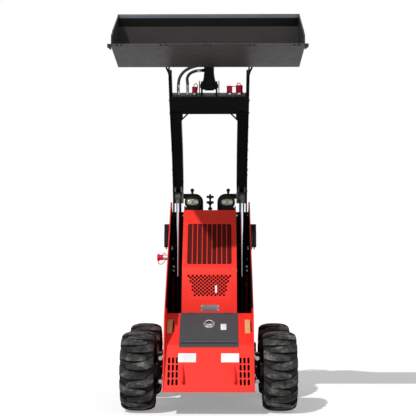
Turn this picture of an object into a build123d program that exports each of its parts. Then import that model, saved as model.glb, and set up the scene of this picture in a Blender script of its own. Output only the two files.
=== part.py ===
"""Compact wheeled skid steer loader with raised lift arms, in millimetres.

Frame: +Z up, the machine's nose points along -Y and the operator stands at +Y.
Left is the operator's left, +X. The origin is on the ground, midway across the
machine and midway along it. The arms are modelled fully raised.
"""

from math import cos, hypot, pi, radians, sin, tan
import os

from build123d import *

os.makedirs("parts", exist_ok=True)

# ---------------------------------------------------------------- driving sizes
tyre_radius = 254.0
tyre_width = 215.0
half_track = 452.0
half_wheelbase = 330.0
body_half = 287.5  # outer faces of the side plates
plate = 8.0  # structural plate
sheet = 4.0  # cover sheet
belly_z = 153.0
inner_x = body_half - plate  # inner faces of the side plates
hood_half = 184.0
running_fit = 0.05  # radial clearance of a shaft in its bore

nose = (-598.0, belly_z)  # foot of the nose panel and of the side plates' front edge
tower_top = (456.0, 1374.0)
front_fold = (-424.0, 430.0)  # where the nose panel meets the deck
deck_top = (-150.0, 612.0)
hood_knee = (-85.0, 908.0)
hood_crest = (245.0, 1309.0)
hood_rear = 336.0
rear_y = 660.0
bucket_lip = (-982.0, 2246.0)
platform_end = -bucket_lip[0]  # puts the origin midway along the machine

arm_pivot = (437.0, 1035.0)
bucket_pivot = (-410.0, 2330.0)
lift_eye = (320.0, 1403.0)
lift_foot = (150.0, 235.0)
tilt_foot = (-220.0, 2115.0)
tilt_crank = 80.0  # from the bucket pivot to the tilt rod's eye
tilt_crank_angle = 92.0
tilt_eye = (
    bucket_pivot[0] + tilt_crank * cos(radians(tilt_crank_angle)),
    bucket_pivot[1] + tilt_crank * sin(radians(tilt_crank_angle)),
)

arm_in, arm_out = 192.0, 265.0  # inner and outer faces of each lift arm
cylinder_x = 226.0
pivot_pin = 20.0
hitch_pin = 14.0
lift_pin = 12.0
tilt_pin = 14.0


def unit(a, b):
    """Direction from point a to point b in the side view."""
    run, rise = b[0] - a[0], b[1] - a[1]
    size = hypot(run, rise)
    return run / size, rise / size


def along(a, direction, distance, out=0.0):
    """The point at a distance from a along a direction, and out to its left."""
    return (
        a[0] + direction[0] * distance - direction[1] * out,
        a[1] + direction[1] * distance + direction[0] * out,
    )


def strip(stations, halves):
    """The outline of a bar that follows a bent centre line of (y, z) points."""
    left, right = [], []
    last = len(stations) - 1
    for index, (point, half) in enumerate(zip(stations, halves)):
        before = unit(stations[max(index - 1, 0)], stations[max(index, 1)])
        after = unit(stations[min(index, last - 1)], stations[min(index + 1, last)])
        blend = unit((0, 0), (before[0] + after[0], before[1] + after[1]))
        reach = half / (blend[0] * after[0] + blend[1] * after[1])
        left.append(along(point, blend, 0, reach))
        right.append(along(point, blend, 0, -reach))
    return left + right[::-1]


def slab(outline, x_one, x_other, mode=Mode.ADD):
    """A plate cut to a side outline of (y, z) points, between two faces given in any order."""
    low, high = sorted((x_one, x_other))
    with BuildSketch(Plane.YZ.offset(low)) as face:
        with BuildLine():
            Polyline(*outline, close=True)
        make_face()
    extrude(face.sketch, amount=high - low, mode=mode)


def shaft(centre, radius, x_one, x_other, mode=Mode.ADD):
    """A round bar along X through a (y, z) centre, between two ends in any order."""
    low, high = sorted((x_one, x_other))
    with BuildSketch(Plane.YZ.offset(low)) as disc:
        with Locations(centre):
            Circle(radius)
    extrude(disc.sketch, amount=high - low, mode=mode)


def block(x_span, y_span, z_span, mode=Mode.ADD):
    """A box between low and high values on each axis."""
    low = (x_span[0], y_span[0], z_span[0])
    high = (x_span[1], y_span[1], z_span[1])
    centre = tuple((a + b) / 2 for a, b in zip(low, high))
    with Locations(centre):
        Box(*[b - a for a, b in zip(low, high)], mode=mode)


def rod(a, b, radius, mode=Mode.ADD):
    """A round bar between two points in space."""
    start, stop = Vector(*a), Vector(*b)
    with BuildSketch(Plane(origin=start, z_dir=stop - start)) as disc:
        Circle(radius)
    extrude(disc.sketch, amount=(stop - start).length, mode=mode)


def sides(low, high):
    """The spans of a pair of like pieces, one on each side of the machine."""
    return [(low, high), (-high, -low)]


def slope_plane(foot, direction, out=0.0):
    """A plane lying on a sloping panel: local x is +X, local y runs up the panel."""
    return Plane(
        origin=(0, *along(foot, direction, 0, out)),
        x_dir=(1, 0, 0),
        z_dir=(0, -direction[1], direction[0]),
    )


def keep(builder, node):
    """Labels a finished sub-part and writes its STEP file."""
    builder.part.label = node
    export_step(builder.part, f"parts/{node}.step")


# ------------------------------------------------------------------- wheels
# corner, side (+1 is left), axle y
wheel_table = [
    ("front_left", 1, -half_wheelbase),
    ("front_right", -1, -half_wheelbase),
    ("rear_left", 1, half_wheelbase),
    ("rear_right", -1, half_wheelbase),
]
rim_radius = 127.0
bead_half = 76.0  # between the rim flanges
flange_reach = 16.0
stub_radius = 20.0
stub_end = 435.0
hub_radius = 50.0
hub_span = (329.0, 431.0)
disc_span = (403.0, 413.0)
motor_face = 319.0

tread_half = 104.0
lug_height = 17.0
lugs_per_side = 14
lug_pitch = 360 / lugs_per_side
# centre line of a lug, from its inner end past the middle to its shoulder, and half widths
lug_stations = [(-50, 0), (15, 0), (62, 9), (112, 36)]
lug_halves = [19, 23, 24, 27]


def tread_profile(drop):
    """Half section of the tread, a distance below the lugs' tips, as (x, radius)."""
    return [
        (0, tyre_radius - drop),
        (48, tyre_radius - 2 - drop),
        (84, tyre_radius - 11 - drop),
        (tread_half - drop / 6, tyre_radius - 24 - drop / 2),
    ]


def mirrored(half):
    """A half section and its mirror image, as one row of points."""
    return [(-x, radius) for x, radius in half[:0:-1]] + half


for corner, side, axle_y in wheel_table:
    section = Plane(
        origin=(side * half_track, axle_y, tyre_radius),
        x_dir=(1, 0, 0),
        z_dir=(0, -1, 0),
    )
    spin_axis = Axis((0, axle_y, tyre_radius), (1, 0, 0))
    flange_top = rim_radius + flange_reach
    crown = mirrored(tread_profile(lug_height))
    tips = mirrored(tread_profile(0))

    with BuildPart() as lug_ring:
        # Prisms through every lug, trimmed to the envelope of the tread.
        for index in range(2 * lugs_per_side):
            angle = radians(index * lug_pitch / 2)
            radial = (0, cos(angle), sin(angle))
            foot = Plane(
                origin=(
                    side * half_track,
                    axle_y + 200 * cos(angle),
                    tyre_radius + 200 * sin(angle),
                ),
                x_dir=(1, 0, 0),
                z_dir=radial,
            )
            turn = 1 if index % 2 else -1
            outline = [(turn * x, s) for x, s in strip(lug_stations, lug_halves)]
            with BuildSketch(foot):
                with BuildLine():
                    Polyline(*outline, close=True)
                make_face()
            extrude(amount=60)
        with BuildSketch(section) as envelope:
            with BuildLine():
                Polyline((-tread_half, 208), *tips, (tread_half, 208), close=True)
            make_face()
        revolve(envelope.sketch, axis=spin_axis, mode=Mode.INTERSECT)

    with BuildPart() as tyre:
        with BuildSketch(section):
            with BuildLine():
                Polyline(
                    (-bead_half, flange_top),
                    (-bead_half, rim_radius),
                    (bead_half, rim_radius),
                    (bead_half, flange_top),
                )
                ThreePointArc((bead_half, flange_top), (tyre_width / 2, 188), crown[-1])
                Polyline(*crown)
                ThreePointArc(crown[0], (-tyre_width / 2, 188), (-bead_half, flange_top))
            make_face()
        revolve(axis=spin_axis)
        add(lug_ring.part)
    keep(tyre, f"tyre_{corner}")

    with BuildPart() as rim:
        # The barrel with its two flanges, then the dished disc and the hub.
        with BuildSketch(section):
            with BuildLine():
                Polyline(
                    (-bead_half - 5, rim_radius - 6),
                    (bead_half + 5, rim_radius - 6),
                    (bead_half + 5, flange_top),
                    (bead_half, flange_top),
                    (bead_half, rim_radius),
                    (-bead_half, rim_radius),
                    (-bead_half, flange_top),
                    (-bead_half - 5, flange_top),
                    close=True,
                )
            make_face()
        revolve(axis=spin_axis)
        centre = (axle_y, tyre_radius)
        hub_ends = (side * hub_span[0], side * hub_span[1])
        shaft(centre, rim_radius - 4, side * disc_span[0], side * disc_span[1])
        shaft(centre, hub_radius, *hub_ends)
        shaft(centre, stub_radius + running_fit, *hub_ends, Mode.SUBTRACT)
    keep(rim, f"rim_{corner}")

with BuildPart() as wheel_motors:
    for corner, side, axle_y in wheel_table:
        centre = (axle_y, tyre_radius)
        for radius, low, high in [
            (78, body_half, body_half + 14),
            (62, body_half + 14, motor_face),
            (stub_radius, motor_face, stub_end),
        ]:
            shaft(centre, radius, side * low, side * high)
keep(wheel_motors, "wheel_motors")

# ------------------------------------------------------------- main frame
panel_run = unit(nose, front_fold)
deck_run = unit(front_fold, deck_top)
panel_sheet = 5.0
panel_foot = nose[0] + panel_sheet / panel_run[1]  # back of the nose panel at its foot
floor_front = panel_foot + plate * panel_run[0] / panel_run[1]

# The plates stand proud of the nose panel and the deck, up to a shoulder over the deck.
side_outline = [
    nose, (-462, 438), (-405, 610), tower_top, (560, 1374), (640, 1290), (rear_y, 1000),
    (rear_y, belly_z),
]
for hand, low, high in [("left", inner_x, body_half), ("right", -body_half, -inner_x)]:
    with BuildPart() as side_plate:
        slab(side_outline, low, high)
    keep(side_plate, f"side_plate_{hand}")

# Inner frame plates: low under the deck and hood, tall behind the hood.
rail_top = deck_top[1] - 12
frame_outline = [
    (-330, belly_z + plate), (610, belly_z + plate), (610, 1340),
    (hood_rear, 1340), (hood_rear, rail_top), (-180, rail_top - 20), (-330, 430),
]
frame_spans = {"left": (hood_half - plate, hood_half), "right": (-hood_half, plate - hood_half)}
for hand, (low, high) in frame_spans.items():
    with BuildPart() as frame_plate:
        slab(frame_outline, low, high)
    keep(frame_plate, f"frame_plate_{hand}")

with BuildPart() as floor_pan:
    block((-inner_x, inner_x), (floor_front, rear_y - plate), (belly_z, belly_z + plate))
keep(floor_pan, "floor_pan")

# Pins across the arm slots: one pair carries the arms, one the lift cylinders.
with BuildPart() as frame_pins:
    for low, high in sides(hood_half, inner_x):
        shaft(arm_pivot, pivot_pin, low, high)
        shaft(lift_foot, lift_pin, low, high)
keep(frame_pins, "frame_pins")

# ------------------------------------------------------------- nose and deck
slot_wide, slot_tall = 14.0, 42.0
slot_columns, slot_rows = (200.0, 225.0, 250.0), 4
slot_pitch = 49.5
lowest_slot = 69.0  # up the panel from its foot

panel_outline = [
    nose, front_fold, along(front_fold, panel_run, 0, -panel_sheet), (panel_foot, belly_z),
]
with BuildPart() as front_panel:
    slab(panel_outline, -inner_x, inner_x)
    with BuildSketch(slope_plane(nose, panel_run)):
        for side in (-1, 1):
            for column in slot_columns:
                for row in range(slot_rows):
                    with Locations((side * column, lowest_slot + row * slot_pitch)):
                        SlotOverall(slot_tall, slot_wide, rotation=90)
    extrude(amount=2 * panel_sheet, both=True, mode=Mode.SUBTRACT)
keep(front_panel, "front_panel")

# Wedge-shaped stops stand off the nose panel under the lowered crossbar.
stop_x, stop_reach = 162.0, 38.0
with BuildPart() as panel_stops:
    low_s, high_s = 55.0, 192.0
    for low, high in sides(stop_x - 5, stop_x + 5):
        slab(
            [
                along(nose, panel_run, low_s),
                along(nose, panel_run, high_s),
                along(nose, panel_run, low_s + 26, stop_reach),
                along(nose, panel_run, low_s + 4, stop_reach - 10),
            ],
            low,
            high,
        )
keep(panel_stops, "panel_stops")

with BuildPart() as deck:
    slab(
        [
            front_fold,
            deck_top,
            along(deck_top, deck_run, 0, -sheet),
            along(front_fold, deck_run, 0, -sheet),
        ],
        -inner_x,
        inner_x,
    )
    slab(panel_outline, -inner_x, inner_x, mode=Mode.SUBTRACT)
    block((-inner_x, inner_x), (deck_top[0], 0), (500, 700), Mode.SUBTRACT)
keep(deck, "deck")

# The dark lid over the fuel tank wraps over the fold on to the nose panel.
lid_half, lid_sheet = 190.0, 3.0
lid_lap = 18.0
with BuildPart() as fuel_lid:
    lap_end = along(front_fold, panel_run, -lid_lap)
    slab(
        [
            lap_end,
            front_fold,
            deck_top,
            along(deck_top, deck_run, 0, lid_sheet),
            along(front_fold, deck_run, 0, lid_sheet),
            along(lap_end, panel_run, 0, lid_sheet),
        ],
        -lid_half,
        lid_half,
    )
keep(fuel_lid, "fuel_lid")

cap_height_up_deck = 211.0
with BuildPart() as fuel_cap:
    base = slope_plane(along(front_fold, deck_run, cap_height_up_deck), deck_run, lid_sheet)
    with BuildSketch(base):
        Circle(38)
    extrude(amount=7)
    with BuildSketch(base.offset(7)):
        Circle(31.5)
    extrude(amount=17)
keep(fuel_cap, "fuel_cap")

with BuildPart() as fuel_tank:
    tank_gap = 25.0
    top_front = along(front_fold, deck_run, 20, -tank_gap)
    top_rear = along(deck_top, deck_run, -40, -tank_gap)
    slab(
        [
            (-500, belly_z + plate),
            top_front,
            top_rear,
            (-130, top_rear[1]),
            (-130, belly_z + plate),
        ],
        -168,
        168,
    )
keep(fuel_tank, "fuel_tank")

# ------------------------------------------------------------- hood and engine
hood_outline = [
    (deck_top[0], rail_top), (deck_top[0], 688), hood_knee, hood_crest,
    (hood_rear, hood_crest[1]), (hood_rear, rail_top),
]
brow_run = unit(hood_knee, hood_crest)
grille_half = 150.0
grille_low, grille_high = 36.0, 392.0  # along the sloping hood above the knee

with BuildPart() as hood:
    slab(hood_outline, -hood_half, hood_half)
    hollow = [
        (deck_top[0] + sheet, rail_top),
        (deck_top[0] + sheet, 688),
        along(hood_knee, brow_run, 0, -sheet),
        along(hood_crest, brow_run, -2, -sheet),
        (hood_crest[0] + 6, hood_crest[1] - sheet),
        (hood_rear, hood_crest[1] - sheet),
        (hood_rear, rail_top),
    ]
    slab(hollow, sheet - hood_half, hood_half - sheet, mode=Mode.SUBTRACT)
    with BuildSketch(slope_plane(hood_knee, brow_run)) as mouth:
        with Locations((0, (grille_low + grille_high) / 2)):
            RectangleRounded(2 * grille_half, grille_high - grille_low, 14)
    extrude(amount=3 * sheet, both=True, mode=Mode.SUBTRACT)
keep(hood, "hood")

grille_bars = 8
grille_pitch = 2 * grille_half / (grille_bars + 1)
with BuildPart() as hood_grille:
    # A mesh sheet behind the opening, with a row of bars standing on it.
    mesh_plane = slope_plane(hood_knee, brow_run, -sheet)
    with BuildSketch(mesh_plane):
        with Locations((0, (grille_low + grille_high) / 2)):
            Rectangle(2 * grille_half + 20, grille_high - grille_low + 16)
    extrude(amount=-2)
    with BuildSketch(mesh_plane):
        with Locations((0, (grille_low + grille_high) / 2)):
            with GridLocations(grille_pitch, 1, grille_bars, 1):
                Rectangle(5.5, grille_high - grille_low)
    extrude(amount=sheet)
keep(hood_grille, "hood_grille")

with BuildPart() as fluid_tank:
    block((-165, 165), (-110, 320), (belly_z + plate, 440))
keep(fluid_tank, "fluid_tank")

with BuildPart() as engine_block:
    block((-150, 150), (0, 320), (440, 940))
keep(engine_block, "engine_block")

# --------------------------------------------------------------- rear of the frame
with BuildPart() as rear_panel:
    block((-inner_x, inner_x), (rear_y - plate, rear_y), (belly_z, 1250))
keep(rear_panel, "rear_panel")

guard_y = 570.0
with BuildPart() as guard_plates:
    for span in sides(hood_half, inner_x):
        block(span, (guard_y - 3, guard_y + 3), (854, 1305))
keep(guard_plates, "guard_plates")

console_half = hood_half - plate
console_top = 1312.0
console_outline = [
    (hood_rear + 20, 980), (rear_y - plate, 980), (rear_y - plate, 1200),
    (560, console_top), (hood_rear + 20, console_top),
]
with BuildPart() as control_console:
    slab(console_outline, -console_half, console_half)
keep(control_console, "control_console")

with BuildPart() as thigh_pad:
    block((-180, 180), (rear_y, rear_y + 45), (720, 1010))
keep(thigh_pad, "thigh_pad")

platform_half = 240.0
with BuildPart() as step_platform:
    # Floor of the platform, its two cheeks and the bar along its back edge.
    block((-platform_half, platform_half), (rear_y, platform_end), (176, 184))
    for low, high in sides(platform_half - 6, platform_half):
        slab(
            [(rear_y, 176), (platform_end, 176), (platform_end, 215), (rear_y + 60, 330), (rear_y, 330)],
            low,
            high,
        )
    block((-platform_half, platform_half), (platform_end - 8, platform_end), (166, 215))
keep(step_platform, "step_platform")

# ------------------------------------------------------- lamps, rails and fittings
lamp_x, lamp_z = 122.0, 1366.0
lamp_front, lamp_depth = 262.0, 42.0
lamp_wide, lamp_tall = 112.0, 74.0
crest_z = hood_crest[1]
with BuildPart() as work_lamps:
    for side in (-1, 1):
        # The lamp's rounded case, on a foot that spreads out over the hood's crest.
        with BuildSketch(Plane.XZ.offset(-lamp_front)):
            with Locations((side * lamp_x, lamp_z)):
                RectangleRounded(lamp_wide, lamp_tall, 30)
        extrude(amount=-lamp_depth)
        with BuildSketch(Plane.XZ.offset(-lamp_front - 10)):
            with BuildLine():
                Polyline(
                    (side * 78, crest_z),
                    (side * 180, crest_z),
                    (side * 160, lamp_z - 20),
                    (side * 84, lamp_z - 20),
                    close=True,
                )
            make_face()
        extrude(amount=10 - lamp_depth)
keep(work_lamps, "work_lamps")

# Flat grab rails: up from the guard plates, in over the lamps, down to the console.
rail_top, rail_deep = 1439.0, 38.0
rail_in, rail_out = 52.0, 250.0
rail_back, rail_thick = guard_y - 3, 15.0
rail_bend = 62.0
knob_x, knob_z, knob_radius = 132.0, 1464.0, 14.0
with BuildPart() as grab_rails:
    for side in (-1, 1):
        inner, outer = side * rail_in, side * rail_out
        inward, outward = side * (rail_in + rail_deep), side * (rail_out - rail_deep)
        under = rail_top - rail_deep
        with BuildSketch(Plane.XZ.offset(-rail_back)) as rail_face:
            with BuildLine():
                Polyline(
                    (inner, console_top),
                    (inner, rail_top),
                    (outer, rail_top),
                    (outer, 1290),
                    (outward, 1290),
                    (outward, under),
                    (inward, under),
                    (inward, console_top),
                    close=True,
                )
            make_face()
            corners = rail_face.vertices()
            fillet([v for v in corners if v.Y > rail_top - 1 and abs(v.X) < rail_in + 1], rail_bend)
        extrude(amount=rail_thick)
        rail_middle = rail_back - rail_thick / 2
        rod((side * knob_x, rail_middle, rail_top - 4), (side * knob_x, rail_middle, knob_z), 6)
        with Locations((side * knob_x, rail_middle, knob_z)):
            Sphere(knob_radius)
keep(grab_rails, "grab_rails")

# The middle lever carries two cross handles; a plain lever stands on each side.
lever_y, lever_top = 470.0, 1432.0
cross_heights, cross_half, cross_radius = (1372.0, 1412.0), 26.0, 9.0
side_lever_x, side_knob = 110.0, (601.0, 1412.0)
with BuildPart() as control_levers:
    rod((0, lever_y, console_top), (0, lever_y, lever_top), 7)
    for height in cross_heights:
        rod((-cross_half, lever_y, height), (cross_half, lever_y, height), cross_radius)
    for side in (-1, 1):
        rod((side * side_lever_x, 590, 1270), (side * side_lever_x, 600, 1400), 8)
        with Locations((side * side_lever_x, *side_knob)):
            Sphere(20)
    slab(console_outline, -console_half, console_half, mode=Mode.SUBTRACT)
keep(control_levers, "control_levers")

# Square lamps low on the tower's flanks, each under its tapered bracket.
side_lamp_y, side_lamp_z = (500.0, 590.0), (1045.0, 1165.0)
side_lamp_depth, bracket_top = 48.0, 1215.0
with BuildPart() as side_lamps:
    for low, high in sides(body_half, body_half + side_lamp_depth):
        block((low, high), side_lamp_y, side_lamp_z)
        slab(
            [
                (side_lamp_y[0] + 10, side_lamp_z[1]),
                (side_lamp_y[1] - 10, side_lamp_z[1]),
                (side_lamp_y[1] - 25, bracket_top),
                (side_lamp_y[0] + 25, bracket_top),
            ],
            low,
            high,
        )
keep(side_lamps, "side_lamps")

# The auxiliary circuit's quick coupler, out through the right side plate.
coupler_y, coupler_z = 60.0, 978.0
with BuildPart() as aux_coupler:
    for radius, start, stop in [(19, body_half, 342.5), (24, 342.5, 359.5)]:
        rod((-start, coupler_y, coupler_z), (-stop, coupler_y, coupler_z), radius)
keep(aux_coupler, "aux_coupler")

# ------------------------------------------------------------------- lift arms
arm_stations = [
    arm_pivot, (410, 1400), (310, 1600), (217, 1730), (-6, 1913), (-146, 2030), bucket_pivot,
]
arm_halves = [58, 58, 60, 60, 58, 54, 40]
arm_plate = 8.0
box_stations = [(370, 1487), (310, 1600), (217, 1730), (-6, 1913), (-100, 1991)]
box_halves = [46, 52, 52, 50, 48]
box_in = 190.0
# A stiffening flange inside each plate, from the crossbar to just short of the bucket's sweep.
flange_stations = [(-146, 2030), (-290, 2193)]
flange_halves = [34, 34]
flange_in = 245.0
beam_centre = (-156.0, 2018.0)
beam_half = 50.0
beam_run = (-cos(radians(66)), sin(radians(66)))
beam_low = along(beam_centre, beam_run, -beam_half)
beam_high = along(beam_centre, beam_run, beam_half)
beam_outline = strip([beam_low, beam_high], [beam_half, beam_half])
beam_end = arm_out - arm_plate
bushing_wall = 18.0
fork_cheek = 8.0
eye_room = 8.0  # between an eye and the cheeks beside it
lift_barrel = 21.0
lift_eye_radius = 24.0
lift_rod_radius = 12.5
fork_in = cylinder_x - lift_barrel - eye_room

for hand, side in [("left", 1), ("right", -1)]:
    plate_faces = (side * beam_end, side * arm_out)
    with BuildPart() as lift_arm:
        slab(strip(arm_stations, arm_halves), *plate_faces)
        shaft(arm_pivot, arm_halves[0], *plate_faces)
        shaft(arm_pivot, pivot_pin + bushing_wall, side * arm_in, side * arm_out)
        shaft(bucket_pivot, arm_halves[-1], *plate_faces)
        shaft(bucket_pivot, hitch_pin, side * (beam_end - 24), side * (arm_out + 20))
        slab(strip(box_stations, box_halves), side * box_in, side * beam_end)
        slab(strip(flange_stations, flange_halves), side * flange_in, side * beam_end)
        slab(beam_outline, side * (box_in - 1), side * beam_end, mode=Mode.SUBTRACT)
        shaft(arm_pivot, pivot_pin + running_fit, side * arm_in, side * arm_out, Mode.SUBTRACT)
    keep(lift_arm, f"lift_arm_{hand}")

# The inner cheek and back wall of each fork; the arm's plate is its outer cheek.
fork_y, fork_z, fork_wall = (278.0, 386.0), (1361.0, 1446.0), 12.0
with BuildPart() as lift_forks:
    for side in (-1, 1):
        wall_y = (fork_y[1] - fork_wall, fork_y[1])
        for y_span, outer in [(fork_y, fork_in), (wall_y, beam_end)]:
            low, high = sorted((side * (fork_in - fork_cheek), side * outer))
            block((low, high), y_span, fork_z)
keep(lift_forks, "lift_forks")

with BuildPart() as crossbar:
    slab(beam_outline, -beam_end, beam_end)
    for low, high in sides(43, 55):
        slab(
            [
                along(beam_high, beam_run, -4, -beam_half + 4),
                along(beam_high, beam_run, -4, beam_half - 4),
                (tilt_foot[0] - 24, tilt_foot[1] + 10),
                (tilt_foot[0] - 8, tilt_foot[1] + 30),
                (tilt_foot[0] + 14, tilt_foot[1] + 30),
                (tilt_foot[0] + 34, tilt_foot[1] + 4),
            ],
            low,
            high,
        )
    shaft(tilt_foot, tilt_pin, -60, 60)
keep(crossbar, "arm_crossbar")

# Corner gussets under the crossbar, from the beam to the arm boxes.
gusset = 95.0
with BuildPart() as arm_gussets:
    beam_foot = along(beam_centre, beam_run, -beam_half, 0)
    plane = Plane(origin=(0, *beam_foot), x_dir=(1, 0, 0), z_dir=(0, -beam_run[1], beam_run[0]))
    with BuildSketch(plane.offset(-30)):
        for side in (-1, 1):
            with BuildLine():
                Polyline(
                    (side * box_in, 0),
                    (side * (box_in - gusset), 0),
                    (side * box_in, -gusset),
                    close=True,
                )
            make_face()
    extrude(amount=10)
keep(arm_gussets, "arm_gussets")

with BuildPart() as hydraulic_couplers:
    # Capped quick couplers and hose fittings standing on the crossbar.
    for x, radius, height in [
        (-97, 15, 52), (135, 16, 56), (200, 19, 60), (-206, 11, 46), (-144, 11, 46),
    ]:
        rod(
            (x, beam_high[0] + 8, beam_high[1] - 16),
            (x, beam_high[0] + 8, beam_high[1] + height),
            radius,
        )
    slab(beam_outline, -beam_end, beam_end, mode=Mode.SUBTRACT)
keep(hydraulic_couplers, "hydraulic_couplers")

# ------------------------------------------------------------------- bucket
bucket_half = 575.0
bucket_plate = 8.0
bucket_heel = (-499.0, 2192.0)
bucket_back_top = (-499.0, 2523.0)
floor_run = unit(bucket_heel, bucket_lip)
edge_depth = 36.0
cheek_front = 68.0  # height of the cheeks at the lip

with BuildPart() as bucket_shell:
    # Floor and back in one bent plate with a rounded heel, then the two cheeks.
    floor_end = along(bucket_lip, floor_run, -edge_depth)
    slab(
        [
            floor_end,
            bucket_heel,
            bucket_back_top,
            (bucket_back_top[0] - bucket_plate, bucket_back_top[1]),
            (bucket_heel[0] - bucket_plate, bucket_heel[1] + bucket_plate + 1),
            along(floor_end, floor_run, 0, -bucket_plate),
        ],
        -bucket_half,
        bucket_half,
    )
    for low, high in sides(bucket_half - bucket_plate, bucket_half):
        slab(
            [
                floor_end,
                bucket_heel,
                bucket_back_top,
                (bucket_back_top[0] - 34, bucket_back_top[1]),
                along(floor_end, floor_run, 0, -cheek_front),
            ],
            low,
            high,
        )
    block(
        (-bucket_half, bucket_half),
        (bucket_back_top[0] - 40, bucket_back_top[0]),
        (bucket_back_top[1] - 28, bucket_back_top[1]),
    )
keep(bucket_shell, "bucket_shell")

with BuildPart() as cutting_edge:
    slab(
        [
            bucket_lip,
            along(bucket_lip, floor_run, -edge_depth),
            along(bucket_lip, floor_run, -edge_depth, -14),
        ],
        -594,
        594,
    )
keep(cutting_edge, "cutting_edge")

ear_gap = 5.0
ear_plate = 8.0
ear_spans = [
    (arm_out + ear_gap, arm_out + ear_gap + ear_plate),
    (arm_out - arm_plate - ear_gap - ear_plate, arm_out - arm_plate - ear_gap),
]
with BuildPart() as bucket_brackets:
    for side in (-1, 1):
        for low, high in ear_spans:
            span = (side * low, side * high)
            slab(
                [
                    (bucket_heel[0], bucket_heel[1] + 20),
                    (bucket_heel[0], bucket_heel[1] + 220),
                    (bucket_pivot[0] - 18, bucket_pivot[1] + 34),
                    (bucket_pivot[0] + 26, bucket_pivot[1] + 20),
                    (bucket_pivot[0] + 26, bucket_pivot[1] - 24),
                    (bucket_pivot[0] - 6, bucket_pivot[1] - 40),
                ],
                *span,
            )
            shaft(bucket_pivot, hitch_pin + running_fit, *span, Mode.SUBTRACT)
    for low, high in sides(34, 46):
        slab(
            [
                (bucket_heel[0], tilt_eye[1] - 70),
                (bucket_heel[0], tilt_eye[1] + 60),
                (tilt_eye[0], tilt_eye[1] + 26),
                (tilt_eye[0] + 24, tilt_eye[1]),
                (tilt_eye[0], tilt_eye[1] - 26),
            ],
            low,
            high,
        )
keep(bucket_brackets, "bucket_brackets")

# ------------------------------------------------------------------- cylinders
def cylinder_barrel(foot, eye, radius, bore, length, foot_radius, pin, half, x):
    """A barrel with its foot eye at foot, pointing at eye, bored for its rod."""
    run = unit(foot, eye)
    start = (x, *along(foot, run, foot_radius * 0.6))
    gland = (x, *along(foot, run, length))
    shaft(foot, foot_radius, x - half, x + half)
    rod(start, gland, radius)
    rod((x, *along(foot, run, length - 34)), gland, radius + 3)
    bore_start = (x, *along(foot, run, foot_radius + 20))
    rod(bore_start, (x, *along(foot, run, length + 1)), bore, Mode.SUBTRACT)
    shaft(foot, pin + running_fit, x - half, x + half, Mode.SUBTRACT)


def cylinder_rod(foot, eye, radius, inside, eye_radius, half, x):
    """A rod that ends inside its barrel, with an eye and a stub pin at its tip."""
    run = unit(foot, eye)
    rod((x, *along(foot, run, inside)), (x, *eye), radius)
    shaft(eye, eye_radius, x - half, x + half)


lift_barrel_length = 612.0
lift_rod_start = 590.0
with BuildPart() as lift_barrels:
    for side in (-1, 1):
        cylinder_barrel(
            lift_foot, lift_eye, lift_barrel, lift_rod_radius + running_fit, lift_barrel_length,
            lift_eye_radius, lift_pin, lift_barrel, side * cylinder_x,
        )
keep(lift_barrels, "lift_barrels")

with BuildPart() as lift_rods:
    for side in (-1, 1):
        cylinder_rod(
            lift_foot, lift_eye, lift_rod_radius, lift_rod_start,
            lift_eye_radius, lift_barrel - 2, side * cylinder_x,
        )
keep(lift_rods, "lift_rods")

tilt_barrel_radius, tilt_rod_radius = 33.0, 16.0
tilt_barrel_length, tilt_foot_radius = 190.0, 30.0
tilt_rod_start, tilt_eye_radius = 170.0, 26.0
tilt_run = unit(tilt_foot, tilt_eye)
hose_ports = [along(tilt_foot, tilt_run, 150), along(tilt_foot, tilt_run, 112)]
port_reach = 50.0
hose_radius = 10.0
hose_gap = 6.0  # lets the barrel swing past the hoses' ends
fitting_top = beam_high[1] + 46
fitting_y = beam_high[0] + 8
with BuildPart() as tilt_barrel:
    for port in hose_ports:
        rod((-port_reach, *port), (-20, *port), 11)
    cylinder_barrel(
        tilt_foot, tilt_eye, tilt_barrel_radius, tilt_rod_radius + running_fit,
        tilt_barrel_length, tilt_foot_radius, tilt_pin, tilt_foot_radius, 0.0,
    )
keep(tilt_barrel, "tilt_barrel")

with BuildPart() as tilt_rod:
    cylinder_rod(
        tilt_foot, tilt_eye, tilt_rod_radius, tilt_rod_start, tilt_eye_radius, 24.0, 0.0,
    )
keep(tilt_rod, "tilt_rod")

# Two hoses from fittings on the crossbar to the tilt barrel's side ports.
# node, foot x, steps from each point of the route to the next
hose_table = [
    (
        "tilt_hose_outer",
        -206,
        [(0, 0, 36), (10, -18, 36), (24, -30, 27), (34, -34, 17), (38, -30, 9), (44, -22, 6)],
    ),
    (
        "tilt_hose_inner",
        -144,
        [(0, 0, 30), (-4, -22, 33), (14, -30, 20), (24, -28, 11), (28, -20, 5), (26, -13, 0)],
    ),
]
for node, foot_x, steps in hose_table:
    runs = [Vector(*step) for step in steps]
    bends = [Vector(foot_x, fitting_y, fitting_top)]
    for run in runs:
        bends.append(bends[-1] + run)
    radii = [
        0.45 * min(a.length, b.length) / tan(radians(a.get_angle(b)) / 2)
        for a, b in zip(runs, runs[1:])
    ]
    print(node, "bend radii", [round(r) for r in radii])
    with BuildPart() as hose:
        with BuildLine() as path:
            FilletPolyline(*bends, radius=radii)
        with BuildSketch(Plane(origin=bends[0], z_dir=runs[0])):
            Circle(hose_radius)
        sweep(path=path.line)
    length = sum(edge.length for edge in path.line.edges())
    print(node, "length", round(length), "volume share", hose.part.volume / (pi * hose_radius**2 * length))
    keep(hose, node)
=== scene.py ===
from math import cos, hypot, pi, radians, sin

import bmesh
import bpy
from mathutils import Matrix, Vector


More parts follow.
